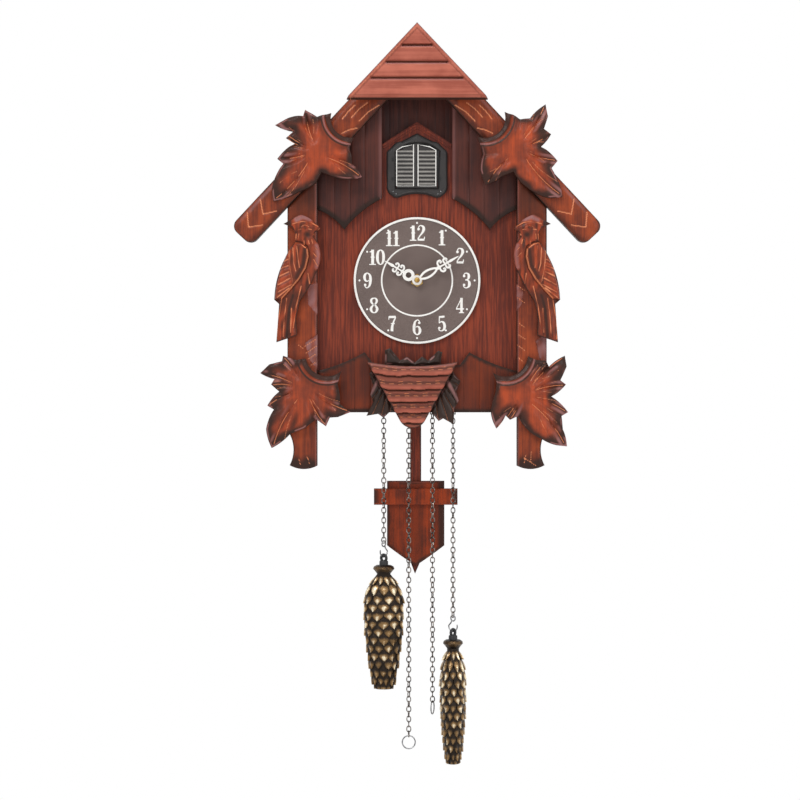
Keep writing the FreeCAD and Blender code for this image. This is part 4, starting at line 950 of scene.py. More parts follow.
# %% Woodpeckers
def woodpecker(side, sign):
    node = f"woodpecker_{side}"
    ring = outline(node, rear=True)
    low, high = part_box(f"post_{side}")
    middle = np.array([(low.x + high.x) / 2 / MM, BIRD_MIDDLE])
    wing, wing_edge, flank_line, tail_line, breast_line, cap_line = placed(
        [WING, WING_EDGE, DARK_FLANK, DARK_TAIL, PALE_BREAST, PALE_CAP], -sign, *middle)
    cuts, flight = placed(ALL_CUTS, -sign, *middle), placed(FLIGHT_CUTS, -sign, *middle)
    eye, beak, cheek, wing_front = placed([[EYE, BEAK_TIP, CHEEK, WING_FRONT]], -sign, *middle)[0]

    def shape(points, edge):
        on_wing = within(points, wing)
        from_wing = away(points, wing, True)
        inside_wing = np.where(on_wing, from_wing, -from_wing)
        stroke = np.maximum(strokes(points, cuts, 0.5), 0.9 * strokes(points, flight, 0.85))
        wide = strokes(points, flight + [line - (0, 1.6) for line in flight], 1.3)
        from_eye = np.linalg.norm(points - eye, axis=1)
        from_beak = np.linalg.norm(points - beak, axis=1)
        socket = ridge(from_eye - 1.9, 0.7)
        body = 4.0 + 3.2 * ridge(edge, 4.5) + 0.7 * (1 - rise(-inside_wing, 0, 2.5))
        body += 2.2 * (1 - rise(from_beak, 2, 11))
        crown = 0.5 + 2.6 * ridge(edge, 2.4) + 0.8 * ridge(inside_wing, 1.2)
        inset = body + (crown - body) * rise(inside_wing, -0.3, 0.7)
        inset += 0.7 * stroke + 0.5 * socket + 0.5 * wide + 0.12 * wobble(points, 5)
        inset -= 0.9 * ridge(from_eye, 1.0)
        below = middle[1] - points[:, 1]
        # Painted shade in the gap beside the wing's edge.
        gap = ridge(inside_wing + 0.9, 1.1) * rise(-below, -14, 4) * 0.8
        flank = strokes(points, [flank_line], 3.0) * on_wing
        tail = strokes(points, [tail_line], 2.6)
        from_cheek = np.linalg.norm((points - cheek) / (4.6, 4.0), axis=1)
        belly = 0.7 * rise(below, -2, 12) * (1 - rise(below, 18, 40)) * ~on_wing
        flight_zone = on_wing & (points[:, 0] * -sign < wing_front[0] * -sign)
        plumage = 0.42 + 0.34 * wobble(points * (1, 0.35), 4) - 0.3 * flight_zone
        # Painted shadow under each flight feather.
        under_flight = strokes(points, [line - (0, 1.5) for line in flight], 0.9)
        burnt = np.maximum.reduce([
            0.9 * (1 - rise(edge, 0.3, 1.5)), 1 - rise(from_beak, 5.5, 10), gap, 0.85 * flank, 0.95 * tail,
            0.95 * ridge(from_cheek, 0.95), belly, plumage, 0.95 * ridge(from_eye, 1.4), 0.6 * under_flight])
        edge_line = ridge(away(points, wing_edge) - 0.1, 0.6)
        breast = strokes(points, [breast_line], 2.4) * ~on_wing
        cap = strokes(points, [cap_line], 2.6)
        cut = np.maximum(stroke * (0.75 + 0.3 * wobble(points, 9)), edge_line * 0.85)
        # Painted highlights along the breast and the crown.
        pale = np.maximum(breast * 0.75, cap * 0.9)
        return inset, {"burnt": np.clip(burnt, 0, 1) * (1 - 0.9 * cut) * (1 - pale),
                       "cut": np.maximum(cut, 0.8 * ridge(from_eye, 0.45)), "pale": pale}

    carve(node + ".carved", node, shape, 0.62, ring)


woodpecker("left", -1)
woodpecker("right", 1)

# %% [markdown]
# ## Roof cap
# The small hipped roof end leans out over the door. It is one board, milled to look like four lapped
# boards inside a raised border: each lap ends in a saw cut with a shadow painted into it and a highlight
# painted on the bevel under it. The net is made flat and then leaned, because every rule of the milling
# is simple in the board's own plane.

# %% Roof cap
CAP_HALF, CAP_THICK, CAP_BORDER = CAP_HIGH.x, 7.0, 4.6
lean = math.atan2(CAP_LEAN, CAP_APEX - CAP_BASE)
cap_height = (CAP_APEX - CAP_BASE) / math.cos(lean)
cap_ring = np.array([(-CAP_HALF, 0), (CAP_HALF, 0), (0, cap_height)])
LAPS = [cap_height * share for share in (0.255, 0.47, 0.695)]
FAR = 99


def cap_shape(points, edge):
    slants = away(points, cap_ring[[0, 2, 1]])
    field = slants > CAP_BORDER
    up = points[:, 1]
    lap = np.min([np.abs(up - z - 0.7) for z in LAPS], 0)
    below = np.min([np.where(up < z, z - up, FAR) for z in LAPS], 0)
    groove = (1 - rise(lap, 0.55, 0.95)) * rise(slants, CAP_BORDER - 1.5, CAP_BORDER)
    chamfer = np.clip(1 - below / 2.8, 0, 1) * 1.3 * field
    border = 1.1 * rise(slants, CAP_BORDER - 1.6, CAP_BORDER - 0.4) + 1.5 * ridge(slants, 1.1)
    foot = 1.3 * ridge(up, 1.2) * ~field + 1.5 * ridge(up, 1.3)
    left = np.where(points[:, 0] < 0, 1.0, 0.6)
    # Painted highlights: lines along the border, brighter on the left, a lip under each saw cut, and the
    # bevels.
    line = ridge(slants - 2.6, 0.6) * left + ridge(slants - CAP_BORDER - 0.6, 0.4) * 0.35 * left
    lip = ridge(below - 2.9, 0.5) * field
    bevel_highlight = np.maximum(ridge(below - 1.2, 0.9) * field, 0.6 * ridge(slants - 0.9, 0.6))
    # Painted shadow in each saw cut, along the foot and inside the border; the edges are sprayed dark.
    darkening = np.maximum.reduce([groove, 1 - rise(edge, 0.1, 0.7), 0.5 * ridge(up - 2.4, 0.7) * field,
                              0.45 * ridge(slants - CAP_BORDER + 0.6, 0.5)])
    inset = border + 2.6 * groove + chamfer + foot
    return inset, {"burnt": np.clip(darkening - lip * 0.4, 0, 1), "cut": np.maximum(line * 0.6, lip * 0.6),
                   "pale": bevel_highlight * 0.9}


def leaned(verts):
    """From the board's own plane to its place on the roof."""
    x, out, up = verts.T
    y = out * math.cos(lean) + up * math.sin(lean) - cap_depth(CAP_BASE)
    return np.column_stack([x, y, up * math.cos(lean) - out * math.sin(lean) + CAP_BASE])


carve("hip_cap.carved", "hip_cap", cap_shape, 0.9, cap_ring, (0, CAP_THICK), place=leaned)

# %% [markdown]
# ## Apron, crest and leaf wings
# The bracket under the dial carries five wavy rows, each proud at its lower edge, where a highlight is
# painted, with a painted shadow under the lip. Short lens-shaped chips lie between the rows. A dark
# toothed crest stands behind its top, and a dark leaf spreads from under it on each side.

# %% Apron
APRON_TOP, APRON_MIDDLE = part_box("apron")[1].z / MM, -4.3
ROWS = [-231.8, -244.6, -255.7, -266.0, -275.2]
apron_ring = outline("apron", rear=True)
top_line = run_of(apron_ring, apron_ring[:, 1] > APRON_TOP - 5)


def apron_shape(points, edge):
    x, z = points.T
    sag = 1.6 - 0.0012 * (x - APRON_MIDDLE) ** 2
    wavy = z + sag + 0.5 * wobble(points * (1, 0.15), 12, 21)
    wavy += 0.2 * np.sin(x / 2.3 + np.floor(z / 11.5) * 1.7)
    under = np.min([np.where(wavy > row, wavy - row, FAR) for row in ROWS], 0)
    above = np.min([np.where(wavy <= row, row - wavy, FAR) for row in ROWS], 0)
    slope = np.clip(under / 11, 0, 1) * 2.8
    inset = 0.4 + np.where(under < above, slope, 3.0 * np.exp(-above / 7.0))
    phase = np.sin(x / 2.7 + np.floor((z + 1.5) / 11.2) * 2.1)
    dash = np.maximum(ridge(under - 5.4, 0.42), ridge(under - 7.6, 0.38) * (phase < 0.4))
    dash *= rise(np.abs(phase), 0.35, 0.8)
    # Painted highlights on the lip of each row and along the top edge.
    lip = ridge(under - 1.8, 1.5) * (under < 30)
    rim = ridge(away(points, top_line) - 1.4, 0.9)
    # Painted shadow under each lip and a darker band across each row; the edges are sprayed dark.
    burnt = np.maximum.reduce([
        0.92 * ridge(above - 0.8, 1.3), 1 - rise(edge, 0.2, 1.4), 0.7 * ridge(under - 6.2, 2.9)])
    shine = np.clip(lip * (0.85 + 0.3 * wobble(points, 7, 8)), 0, 1)
    pale = np.maximum(0.25 * shine, rim * 0.8)
    inset += 0.6 * dash + 1.2 * ridge(edge, 1.0)
    side = 1 - rise(edge, 0.6, 2.0)
    burnt = np.maximum(burnt * (1 - pale), 0.46) * (1 - shine)
    return inset, {"burnt": burnt, "cut": np.maximum(dash * 0.85, shine * 0.34) * (1 - side),
                   "pale": pale * (1 - 0.7 * side)}


carve("apron.carved", "apron", apron_shape, 0.75, apron_ring)

# %% Crest and leaf wings
WING_ROOT = (18, -228)


def crest_shape(points, edge):
    flutes = 0.5 + 0.5 * np.sin(points[:, 0] * 0.55)
    gleam = ridge(edge - 1.1, 0.7) * rise(wobble(points, 11, 2), -0.1, 0.6)
    inset = 0.4 + 2.4 * ridge(edge, 2.0) + 0.8 * flutes
    return inset, {"burnt": np.clip(0.75 - gleam, 0, 1), "cut": gleam * 0.25, "pale": gleam}


def wing_shape(points, edge):
    sign = np.where(points[:, 0] > APRON_MIDDLE, 1, -1)
    x = np.abs(points[:, 0] - APRON_MIDDLE)
    z = points[:, 1]
    stem = np.abs((x - 33) * 0.87 + (z + 240) * 0.5)
    stem_line = ridge(stem, 1.9) * (z > -272)
    out, up = x - WING_ROOT[0], z - WING_ROOT[1]
    ribs = 0.5 + 0.5 * np.cos(np.arctan2(-up, out) * 34 + sign)
    cuts = rise(ribs, 0.93, 1.0) * rise(np.hypot(out, up), 20, 26) * (stem > 3)
    gleam = ridge(edge - 1.0, 0.6) * rise(wobble(points, 9, 6), 0.1, 0.6)
    inset = 0.8 + 1.8 * ridge(edge, 1.4) + 1.2 * ribs * (stem > 2.2) - 0.6 * stem_line + 0.6 * cuts
    # Painted highlights along the stem and on the edges.
    burnt = np.clip(0.7 - 0.7 * stem_line - 0.4 * cuts, 0, 1)
    return inset, {"burnt": burnt, "cut": cuts * 0.5, "pale": np.maximum(stem_line * 0.8, gleam * 0.7)}


carve("apron_crest.carved", "apron_crest", crest_shape, 0.7)
for side, ring in zip(("left", "right"), outlines("apron_leaves")):
    carve(f"apron_leaves.{side}", "apron_leaves", wing_shape, 0.7, ring)

# %% [markdown]
# ## Dial print and hands
# The figures are an upright slab-serif face: thick uprights, thin joins, round ball ends and small
# spurs at mid height. Each figure is a few strokes drawn as ribbons of changing width, and a hand is
# made of the same ribbons, only thicker. A ribbon is a closed strip with a back, so it has no stray edge.

# %% Curves and rings of points
def smooth_path(points, per_step=6):
    """A curve through points of any dimension (Catmull-Rom), with per_step points for each step."""
    p = np.asarray(points, float)
    if len(p) < 3:
        return p
    p = np.vstack([2 * p[0] - p[1], p, 2 * p[-1] - p[-2]])
    t = np.linspace(0, 1, per_step, endpoint=False)[:, None]
    runs = []
    for a, b, c, d in zip(p, p[1:], p[2:], p[3:]):
        runs.append(0.5 * (2 * b + (c - a) * t + (2 * a - 5 * b + 4 * c - d) * t ** 2
                           + (3 * b - a - 3 * c + d) * t ** 3))
    return np.vstack(runs + [p[-2:-1]])


def around(sides):
    """Evenly spaced angles round a circle."""
    return np.arange(sides) * 2 * math.pi / sides


def joined(rows, sides, closed=False):
    """Faces between rings of points; the first and the last ring are capped unless the rows close."""
    faces = []
    for i in range(rows if closed else rows - 1):
        here, there = i * sides, (i + 1) % rows * sides
        for k in range(sides):
            after = (k + 1) % sides
            faces.append((here + k, here + after, there + after, there + k))
    if not closed:
        faces += [tuple(range(sides - 1, -1, -1)), tuple(range((rows - 1) * sides, rows * sides))]
    return faces


def outward(mesh):
    """Turns every face of a closed mesh outwards."""
    loose = bmesh.new()
    loose.from_mesh(mesh)
    bmesh.ops.recalc_face_normals(loose, faces=loose.faces)
    loose.to_mesh(mesh)
    loose.free()


print("a tube of 5 rings with 8 sides has", len(joined(5, 8)), "faces")


# %% Closed parts: ribbons, discs, wires and turned parts
LIFT = 0.004  # between one stroke and the next, so that crossing strokes don't flicker


class Solid:
    """Collects closed parts of one piece."""

    def __init__(self):
        self.verts, self.faces, self.layer = [], [], 0

    def add(self, verts, faces):
        first = len(self.verts)
        self.verts += [tuple(v) for v in verts]
        self.faces += [tuple(first + i for i in face) for face in faces]

    def ribbon(self, points, back, front, closed=False, smooth=True):
        """A strip through (x, z, half width) points between two depths."""
        line = smooth_path(points) if smooth else np.asarray(points, float)
        self.layer += 1
        front = front + LIFT * self.layer
        if closed:
            step = np.roll(line, -1, 0) - np.roll(line, 1, 0)
        else:
            step = np.gradient(line, axis=0)
        side = np.column_stack([-step[:, 1], step[:, 0]])
        side /= np.maximum(np.linalg.norm(side, axis=1), 1e-9)[:, None]
        width = np.maximum(line[:, 2], 0.03)[:, None]
        left, right = line[:, :2] + side * width, line[:, :2] - side * width
        n = len(line)
        rows = [(left, front), (right, front), (right, back), (left, back)]
        verts = [(x, -depth, z) for edge, depth in rows for x, z in edge]
        faces = []
        for i in range(n if closed else n - 1):
            j = (i + 1) % n
            faces += [(k * n + i, k * n + j, (k + 1) % 4 * n + j, (k + 1) % 4 * n + i) for k in range(4)]
        if not closed:
            faces += [(0, n, 2 * n, 3 * n), (4 * n - 1, 3 * n - 1, 2 * n - 1, n - 1)]
        self.add(verts, faces)

    def disc(self, x, z, radius, back, front, sides=20):
        """A flat round part between two depths."""
        self.layer += 1
        self.lathe((x, 0, z), [(back, radius), (front + LIFT * self.layer, radius)], sides)

    def circle(self, x, z, radius, half, back, front, sides=96):
        """A flat ring, half wide on either side of its radius, between two depths."""
        across, up = x + radius * np.cos(around(sides)), z + radius * np.sin(around(sides))
        points = np.column_stack([across, up, np.full(sides, half)])
        self.ribbon(points, back, front, closed=True, smooth=False)

    def tube(self, points, radius, sides, closed=False, per_step=6):
        """A round wire through (x, y, z) points; radius may change from point to point."""
        line = smooth_path(np.column_stack([points, np.broadcast_to(radius, len(points))]), per_step)
        if closed:
            line = line[:-1]
        centre, radii = line[:, :3], line[:, 3]
        step = np.roll(centre, -1, 0) - np.roll(centre, 1, 0) if closed else np.gradient(centre, axis=0)
        step /= np.maximum(np.linalg.norm(step, axis=1), 1e-9)[:, None]
        across = np.cross(step[0], (0.3, 0.9, 0.2))
        verts = []
        for point, along, r in zip(centre, step, radii):
            across = across - along * (across @ along)
            across /= np.linalg.norm(across)
            other = np.cross(along, across)
            verts += [point + r * (math.cos(a) * across + math.sin(a) * other) for a in around(sides)]
        self.add(verts, joined(len(centre), sides, closed))

    def lathe(self, centre, profile, sides=24, axis="y"):
        """A turned part: profile is (distance along the axis, radius), closed at both ends."""
        verts = []
        for along, radius in profile:
            for a in around(sides):
                u, w = radius * math.cos(a), radius * math.sin(a)
                offset = {"y": (u, -along, w), "z": (u, w, along), "x": (along, u, w)}[axis]
                verts.append(tuple(c + o for c, o in zip(centre, offset)))
        self.add(verts, joined(len(profile), sides))

    def finish(self, name, body, slot, replaced=(), sharp=40):
        """The collected parts as one piece of a body, with its finish and the nodes it stands for."""
        made = piece(name, self.verts, self.faces, slot, None, sharp)
        outward(made.data)
        made.data.set_sharp_from_angle(angle=math.radians(sharp))
        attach(made, body)
        if replaced:
            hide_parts(*replaced)
        print(f"{name}: {len(made.data.polygons)} faces")


sample = Solid()
sample.disc(0, 0, 10, 0, 1)
print("a disc is one closed part with", len(sample.faces), "faces")

# %% Figures
# Strokes in a box 1 high: (x, z, half width). A stroke of one point is a ball end.
FIGURES = {
    "0": [
        [(0.29, 0.97, 0.035), (0.13, 0.82, 0.075), (0.08, 0.5, 0.095), (0.13, 0.18, 0.075),
         (0.29, 0.03, 0.035), (0.45, 0.18, 0.075), (0.5, 0.5, 0.095), (0.45, 0.82, 0.075),
         (0.29, 0.97, 0.035)],
    ],
    "1": [
        [(0.3, 0.0, 0.095), (0.3, 0.5, 0.095), (0.3, 0.97, 0.095)],
        [(0.08, 0.035, 0.035), (0.52, 0.035, 0.035)],
        [(0.3, 0.93, 0.05), (0.2, 0.85, 0.045), (0.1, 0.82, 0.035)],
        [(0.16, 0.5, 0.03), (0.44, 0.5, 0.03)],
    ],
    "2": [
        [(0.12, 0.74, 0.09)],
        [(0.09, 0.78, 0.03), (0.17, 0.93, 0.035), (0.3, 0.965, 0.04), (0.44, 0.88, 0.08),
         (0.47, 0.72, 0.095), (0.38, 0.52, 0.07), (0.2, 0.3, 0.045), (0.09, 0.12, 0.04)],
        [(0.06, 0.07, 0.06), (0.3, 0.07, 0.07), (0.52, 0.07, 0.07)],
        [(0.5, 0.1, 0.04), (0.53, 0.26, 0.025)],
    ],
    "3": [
        [(0.12, 0.78, 0.085)],
        [(0.08, 0.82, 0.03), (0.17, 0.94, 0.035), (0.3, 0.965, 0.04), (0.42, 0.87, 0.08),
         (0.43, 0.7, 0.085), (0.36, 0.58, 0.045), (0.2, 0.54, 0.03)],
        [(0.2, 0.54, 0.03), (0.38, 0.5, 0.045), (0.47, 0.36, 0.09), (0.46, 0.18, 0.09), (0.34, 0.05, 0.045),
         (0.18, 0.04, 0.035), (0.07, 0.16, 0.03)],
        [(0.12, 0.22, 0.085)],
    ],
    "4": [
        [(0.38, 0.97, 0.035), (0.22, 0.62, 0.03), (0.04, 0.29, 0.03)],
        [(0.02, 0.27, 0.045), (0.56, 0.27, 0.045)],
        [(0.39, 0.97, 0.085), (0.39, 0.5, 0.085), (0.39, 0.0, 0.085)],
        [(0.22, 0.03, 0.03), (0.56, 0.03, 0.03)],
    ],
    "5": [
        [(0.12, 0.92, 0.06), (0.3, 0.92, 0.07), (0.47, 0.94, 0.06)],
        [(0.13, 0.95, 0.035), (0.11, 0.52, 0.035)],
        [(0.11, 0.52, 0.03), (0.24, 0.61, 0.04), (0.4, 0.56, 0.075), (0.48, 0.34, 0.095),
         (0.43, 0.13, 0.075), (0.28, 0.03, 0.035), (0.14, 0.06, 0.035), (0.07, 0.17, 0.03)],
        [(0.12, 0.21, 0.085)],
    ],
    "6": [
        [(0.44, 0.78, 0.085)],
        [(0.48, 0.84, 0.03), (0.38, 0.95, 0.035), (0.27, 0.95, 0.04), (0.14, 0.8, 0.07), (0.09, 0.5, 0.095),
         (0.12, 0.18, 0.075), (0.29, 0.03, 0.035), (0.44, 0.12, 0.075), (0.49, 0.3, 0.09),
         (0.43, 0.49, 0.07), (0.29, 0.55, 0.035), (0.15, 0.45, 0.03)],
    ],
    "7": [
        [(0.07, 0.91, 0.07), (0.3, 0.91, 0.08), (0.53, 0.92, 0.07)],
        [(0.07, 0.94, 0.03), (0.06, 0.74, 0.025)],
        [(0.52, 0.9, 0.04), (0.38, 0.6, 0.055), (0.29, 0.3, 0.085), (0.27, 0.0, 0.095)],
        [(0.2, 0.49, 0.03), (0.46, 0.49, 0.03)],
    ],
    "8": [
        [(0.29, 0.97, 0.035), (0.13, 0.89, 0.065), (0.1, 0.74, 0.075), (0.18, 0.6, 0.06),
         (0.29, 0.53, 0.04), (0.4, 0.46, 0.06), (0.5, 0.27, 0.09), (0.43, 0.09, 0.065), (0.29, 0.03, 0.035),
         (0.15, 0.09, 0.065), (0.08, 0.27, 0.09), (0.18, 0.45, 0.06), (0.29, 0.53, 0.04), (0.4, 0.62, 0.06),
         (0.47, 0.76, 0.075), (0.43, 0.9, 0.06), (0.29, 0.97, 0.035)],
    ],
}
FIGURE_BOX = 0.58
FIGURES["9"] = [[(FIGURE_BOX - x, 1 - z, w) for x, z, w in stroke] for stroke in FIGURES["6"]]
SPURS = {"0": [[(0.0, 0.5, 0.03), (0.17, 0.5, 0.03)], [(0.41, 0.5, 0.03), (FIGURE_BOX, 0.5, 0.03)]]}
print("figures drawn:", sorted(FIGURES))

# %% Figures on the dial
FIGURE_HEIGHT, FIGURE_WIDTH = 14.6, 13.8
REACH, REACHES = 46.0, {6: 43.4, 10: 43.4, 11: 45.2, 12: 44.1}
STEP, NARROW_STEP = 7.4, 6.6

low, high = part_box("dial_plate")
DIAL_X, DIAL_Z, DIAL_FRONT = (low.x + high.x) / 2 / MM, (low.z + high.z) / 2 / MM, -low.y / MM
PRINT_BACK, PRINT_FRONT = DIAL_FRONT - 0.1, DIAL_FRONT + 0.12

figures = Solid()
for hour in range(1, 13):
    text = str(hour)
    angle = math.radians(90 - 30 * hour)
    reach = REACHES.get(hour, REACH)
    step = NARROW_STEP if text == "11" else STEP
    width = FIGURE_WIDTH * FIGURE_BOX + step * (len(text) - 1)
    left = DIAL_X + reach * math.cos(angle) - width / 2
    base = DIAL_Z + reach * math.sin(angle) - FIGURE_HEIGHT / 2
    for place, digit in enumerate(text):
        for stroke in FIGURES[digit] + SPURS.get(digit, []):
            start = left + step * place
            points = [(start + x * FIGURE_WIDTH, base + z * FIGURE_HEIGHT, w * FIGURE_WIDTH)
                      for x, z, w in stroke]
            if len(points) == 1:
                figures.disc(*points[0], PRINT_BACK, PRINT_FRONT)
            else:
                figures.ribbon(points, PRINT_BACK, PRINT_FRONT)
figures.finish("dial_figures", "case", "hand_enamel")

# %% [markdown]
# The hour dots stand at equal steps round a circle. That is a rule, so Geometry Nodes make them: the
# tree below sets one flat dot on every twelfth of the circle, and its inputs are the count, the place
# and the sizes. The minute ring and the raised rim are ribbons bent into circles.

# %% Hour dots: a geometry tree turned into a plain mesh
def tree(name, sizes):
    """A geometry tree with named number inputs: a wire for each input, and one for the index."""
    group = bpy.data.node_groups.new(name, "GeometryNodeTree")
    group.interface.new_socket("Geometry", in_out="OUTPUT", socket_type="NodeSocketGeometry")
    for key, value in sizes.items():
        kind = {int: "NodeSocketInt", float: "NodeSocketFloat", tuple: "NodeSocketVector"}[type(value)]
        group.interface.new_socket(key, in_out="INPUT", socket_type=kind)
    start = group.nodes.new("NodeGroupInput")
    knob = {key: Wire(group, start.outputs[key]) for key in sizes}
    return knob, Wire(group).make("GeometryNodeInputIndex")


def vector(index, **axes):
    return index.make("ShaderNodeCombineXYZ", None, axes)


def set_at(knob, index, offset, shape, turn=None):
    """Sets Count copies of a shape at Place + offset, turned where a turn is given."""
    spot = index.make("ShaderNodeVectorMath", {"operation": "ADD"}, {0: offset, 1: knob["Place"]})
    points = index.make("GeometryNodePoints", None, {"Count": knob["Count"], "Position": spot})
    turns = {"Rotation": turn} if turn else {}
    return index.make("GeometryNodeInstanceOnPoints", None, {"Points": points, "Instance": shape, **turns})


def random_turn(index, least, most, seed):
    """A random number for every index; its place among the node's outputs is 1."""
    ends = {2: least, 3: most, "ID": index, "Seed": seed}
    return index.make("FunctionNodeRandomValue", {"data_type": "FLOAT"}, ends, 1)


def grow(name, result, sizes, finish_name, body, replaced=()):
    """Ends the tree with its material, runs it once and keeps the result as a plain mesh."""
    group = result.tree
    made = result.make("GeometryNodeRealizeInstances", None, {"Geometry": result})
    made = made.make("GeometryNodeSetMaterial", None, {"Geometry": made, "Material": FINISHES[finish_name]})
    end = group.nodes.new("NodeGroupOutput")
    group.links.new(made.socket, end.inputs["Geometry"])
    carrier = bpy.data.objects.new(name + ".tree", bpy.data.meshes.new(name + ".tree"))
    scene.collection.objects.link(carrier)
    modifier = carrier.modifiers.new("tree", "NODES")
    modifier.node_group = group
    for item in group.interface.items_tree:
        if item.in_out == "INPUT":
            modifier[item.identifier] = sizes[item.name]
    graph = bpy.context.evaluated_depsgraph_get()
    mesh = bpy.data.meshes.new_from_object(carrier.evaluated_get(graph), depsgraph=graph)
    carrier.modifiers.remove(modifier)
    bpy.data.objects.remove(carrier)
    mesh.name = name
    mesh.shade_smooth()
    mesh.set_sharp_from_angle(angle=math.radians(50))
    grown = bpy.data.objects.new(name, mesh)
    scene.collection.objects.link(grown)
    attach(grown, body)
    if replaced:
        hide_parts(*replaced)
    print(f"{name}: {len(mesh.polygons)} faces")


dots = {"Count": 12, "Circle": 53.4 * MM, "Dot": 0.95 * MM,
        "Place": (DIAL_X * MM, -DIAL_FRONT * MM, DIAL_Z * MM)}
knob, index = tree("dots on a circle", dots)
angle = index / knob["Count"] * (2 * math.pi)
across, up = (index.math(wave, angle) * knob["Circle"] for wave in ("SINE", "COSINE"))
dot = index.make("GeometryNodeMeshUVSphere", None, {"Segments": 16, "Rings": 6, "Radius": knob["Dot"]})
flat = index.make("GeometryNodeTransform", None, {"Geometry": dot, "Scale": (1, 0.14, 1)})
result = set_at(knob, index, vector(index, X=across, Z=up), flat)
grow("dial_dots", result, dots, "hand_enamel", "case")

# %% Minute ring and rim
rings = Solid()
rings.circle(DIAL_X, DIAL_Z, 32.8, 0.7, PRINT_BACK, PRINT_FRONT)
rings.finish("dial_inner_ring", "case", "hand_enamel")
rim = Solid()
for tier in range(2):
    rim.circle(DIAL_X, DIAL_Z, 57.7, 1.0 - 0.35 * tier, DIAL_FRONT - 1.5, DIAL_FRONT + 0.35 + 0.3 * tier, 144)
rim.finish("dial_rim", "case", "hand_enamel")

# %% [markdown]
# The hands are stamped from thin sheet: a ring or a loop near the hub, a pair of scrolls, and a spear.
# They are drawn pointing up and then turned to ten past ten.

# %% Hands
SCROLLS = [[(0.2, -4.4, 0.8), (1.6, -4.9, 0.8), (3.4, -4.8, 0.8), (4.9, -3.4, 0.85), (4.6, -1.6, 0.85),
            (3.1, -1.4, 0.9), (2.9, -2.8, 0.7)],
           [(0.4, 1.0, 0.6), (1.9, 0.6, 0.75), (3.6, 1.0, 0.85), (4.3, 2.8, 0.85), (3.0, 3.9, 0.85),
            (2.2, 2.9, 0.7)],
           [(0, -5.2, 1.0), (0, -2, 0.7), (0, 1, 0.75), (0, 4.8, 0.8)]]


def hand(name, node, parts, turn, front):
    """A stamped hand: lines are drawn on both sides of the middle, and the whole is turned in degrees."""
    solid = Solid()
    cos, sin = math.cos(math.radians(turn)), math.sin(math.radians(turn))
    back = front - 0.75

    def spin(x, z, *half):
        return (DIAL_X + x * cos + z * sin, DIAL_Z - x * sin + z * cos, *half)

    for kind, *values in parts:
        if kind == "line":
            on_axis = all(point[0] == 0 for point in values[0])
            for flip in (1,) if on_axis else (1, -1):
                solid.ribbon([spin(flip * x, z, half) for x, z, half in values[0]], back, front - 0.06)
        elif kind == "ring":
            height, radius, half = values
            solid.circle(*spin(0, height), radius, half, back, front - 0.06, 40)
        elif kind == "hub":
            solid.disc(DIAL_X, DIAL_Z, values[0], front - 0.78, front - 0.08, 40)
        elif kind == "stem":
            solid.disc(DIAL_X, DIAL_Z, values[0], -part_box(node)[1].y / MM, front - 0.3, 24)
    solid.finish(name, body_of[node], "hand_enamel", (node,))


def scrolls(at, size):
    return [("line", [(x * size, z * size + at, w * size) for x, z, w in line]) for line in SCROLLS]


HOUR_HAND = [("hub", 4.6), ("ring", 9.2, 4.1, 1.45), ("line", [(0, 13, 1.5), (0, 15, 1.1), (0, 17, 0.9)]),
             *scrolls(20.6, 0.98),
             ("line", [(0, 24.5, 0.7), (0, 26.5, 1.3), (0, 29, 1.1), (0, 31.5, 0.7), (0, 34.6, 0.25)]),
             ("stem", 2.6)]
MINUTE_HAND = [("hub", 3.6),
               ("line", [(0.6, 3, 0.9), (2.6, 8, 1.0), (3.0, 13, 1.0), (1.8, 18.5, 0.9), (0.3, 21, 0.9)]),
               ("line", [(0, 20.5, 1.3), (0, 22.4, 1.5), (0, 24.6, 0.9)]),
               *scrolls(29.0, 1.08),
               ("line", [(0, 33, 0.7), (0, 35.5, 1.2), (0, 38, 1.0), (0, 41, 0.7), (0, 44.3, 0.22)]),
               ("stem", 1.6)]
HOUR_TURN, HOUR_FRONT, MINUTE_TURN, MINUTE_FRONT = -59, 99.8, 60, 102.4
hand("hour_hand.enamelled", "hour_hand", HOUR_HAND, HOUR_TURN, HOUR_FRONT)
hand("minute_hand.enamelled", "minute_hand", MINUTE_HAND, MINUTE_TURN, MINUTE_FRONT)

nut = Solid()
front = -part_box("hand_nut")[0].y / MM
nut_profile = [(front - 1.5, 2.5), (front - 0.6, 2.5), (front - 0.15, 2.1), (front - 0.02, 1.2)]
nut.lathe((DIAL_X, 0, DIAL_Z), nut_profile)
nut.finish("hand_nut.turned", "minute", "brass_trim", ("hand_nut",))

# %% [markdown]
# ## Door, moulding and shutters
# The door frame is a black moulding with a pebbled face, a bead round its edge and another round the
# opening. A stained gable moulding follows the top of the board above it. The two shutters have a
# white line round them and nine slanting slats each, which are one slat set again and again.

# %% A moulded frame
def crossing(ring, centre, angles):
    """How far a ring lies from a point inside it, along each angle."""
    reach = np.zeros(len(angles))
    across, up = np.cos(angles), np.sin(angles)
    for a, b in zip(ring, np.roll(ring, -1, 0)):
        step, start = b - a, a - centre
        turn = across * step[1] - up * step[0]
        turn = np.where(np.abs(turn) < 1e-9, 1e-9, turn)
        far = (start[0] * step[1] - start[1] * step[0]) / turn
        share = (start[0] * up - start[1] * across) / turn
        reach = np.maximum(reach, np.where((share >= 0) & (share <= 1) & (far > 0), far, 0))
    return reach


OUTWARD = [0, 0.25, 0.6, 1.0, 1.5, 2.0, 2.6, 3.2]
INWARD = [2.1, 1.6, 1.1, 0.7, 0.3, 0]
BETWEEN = 4
ROOM, RAYS = 1.0, 320


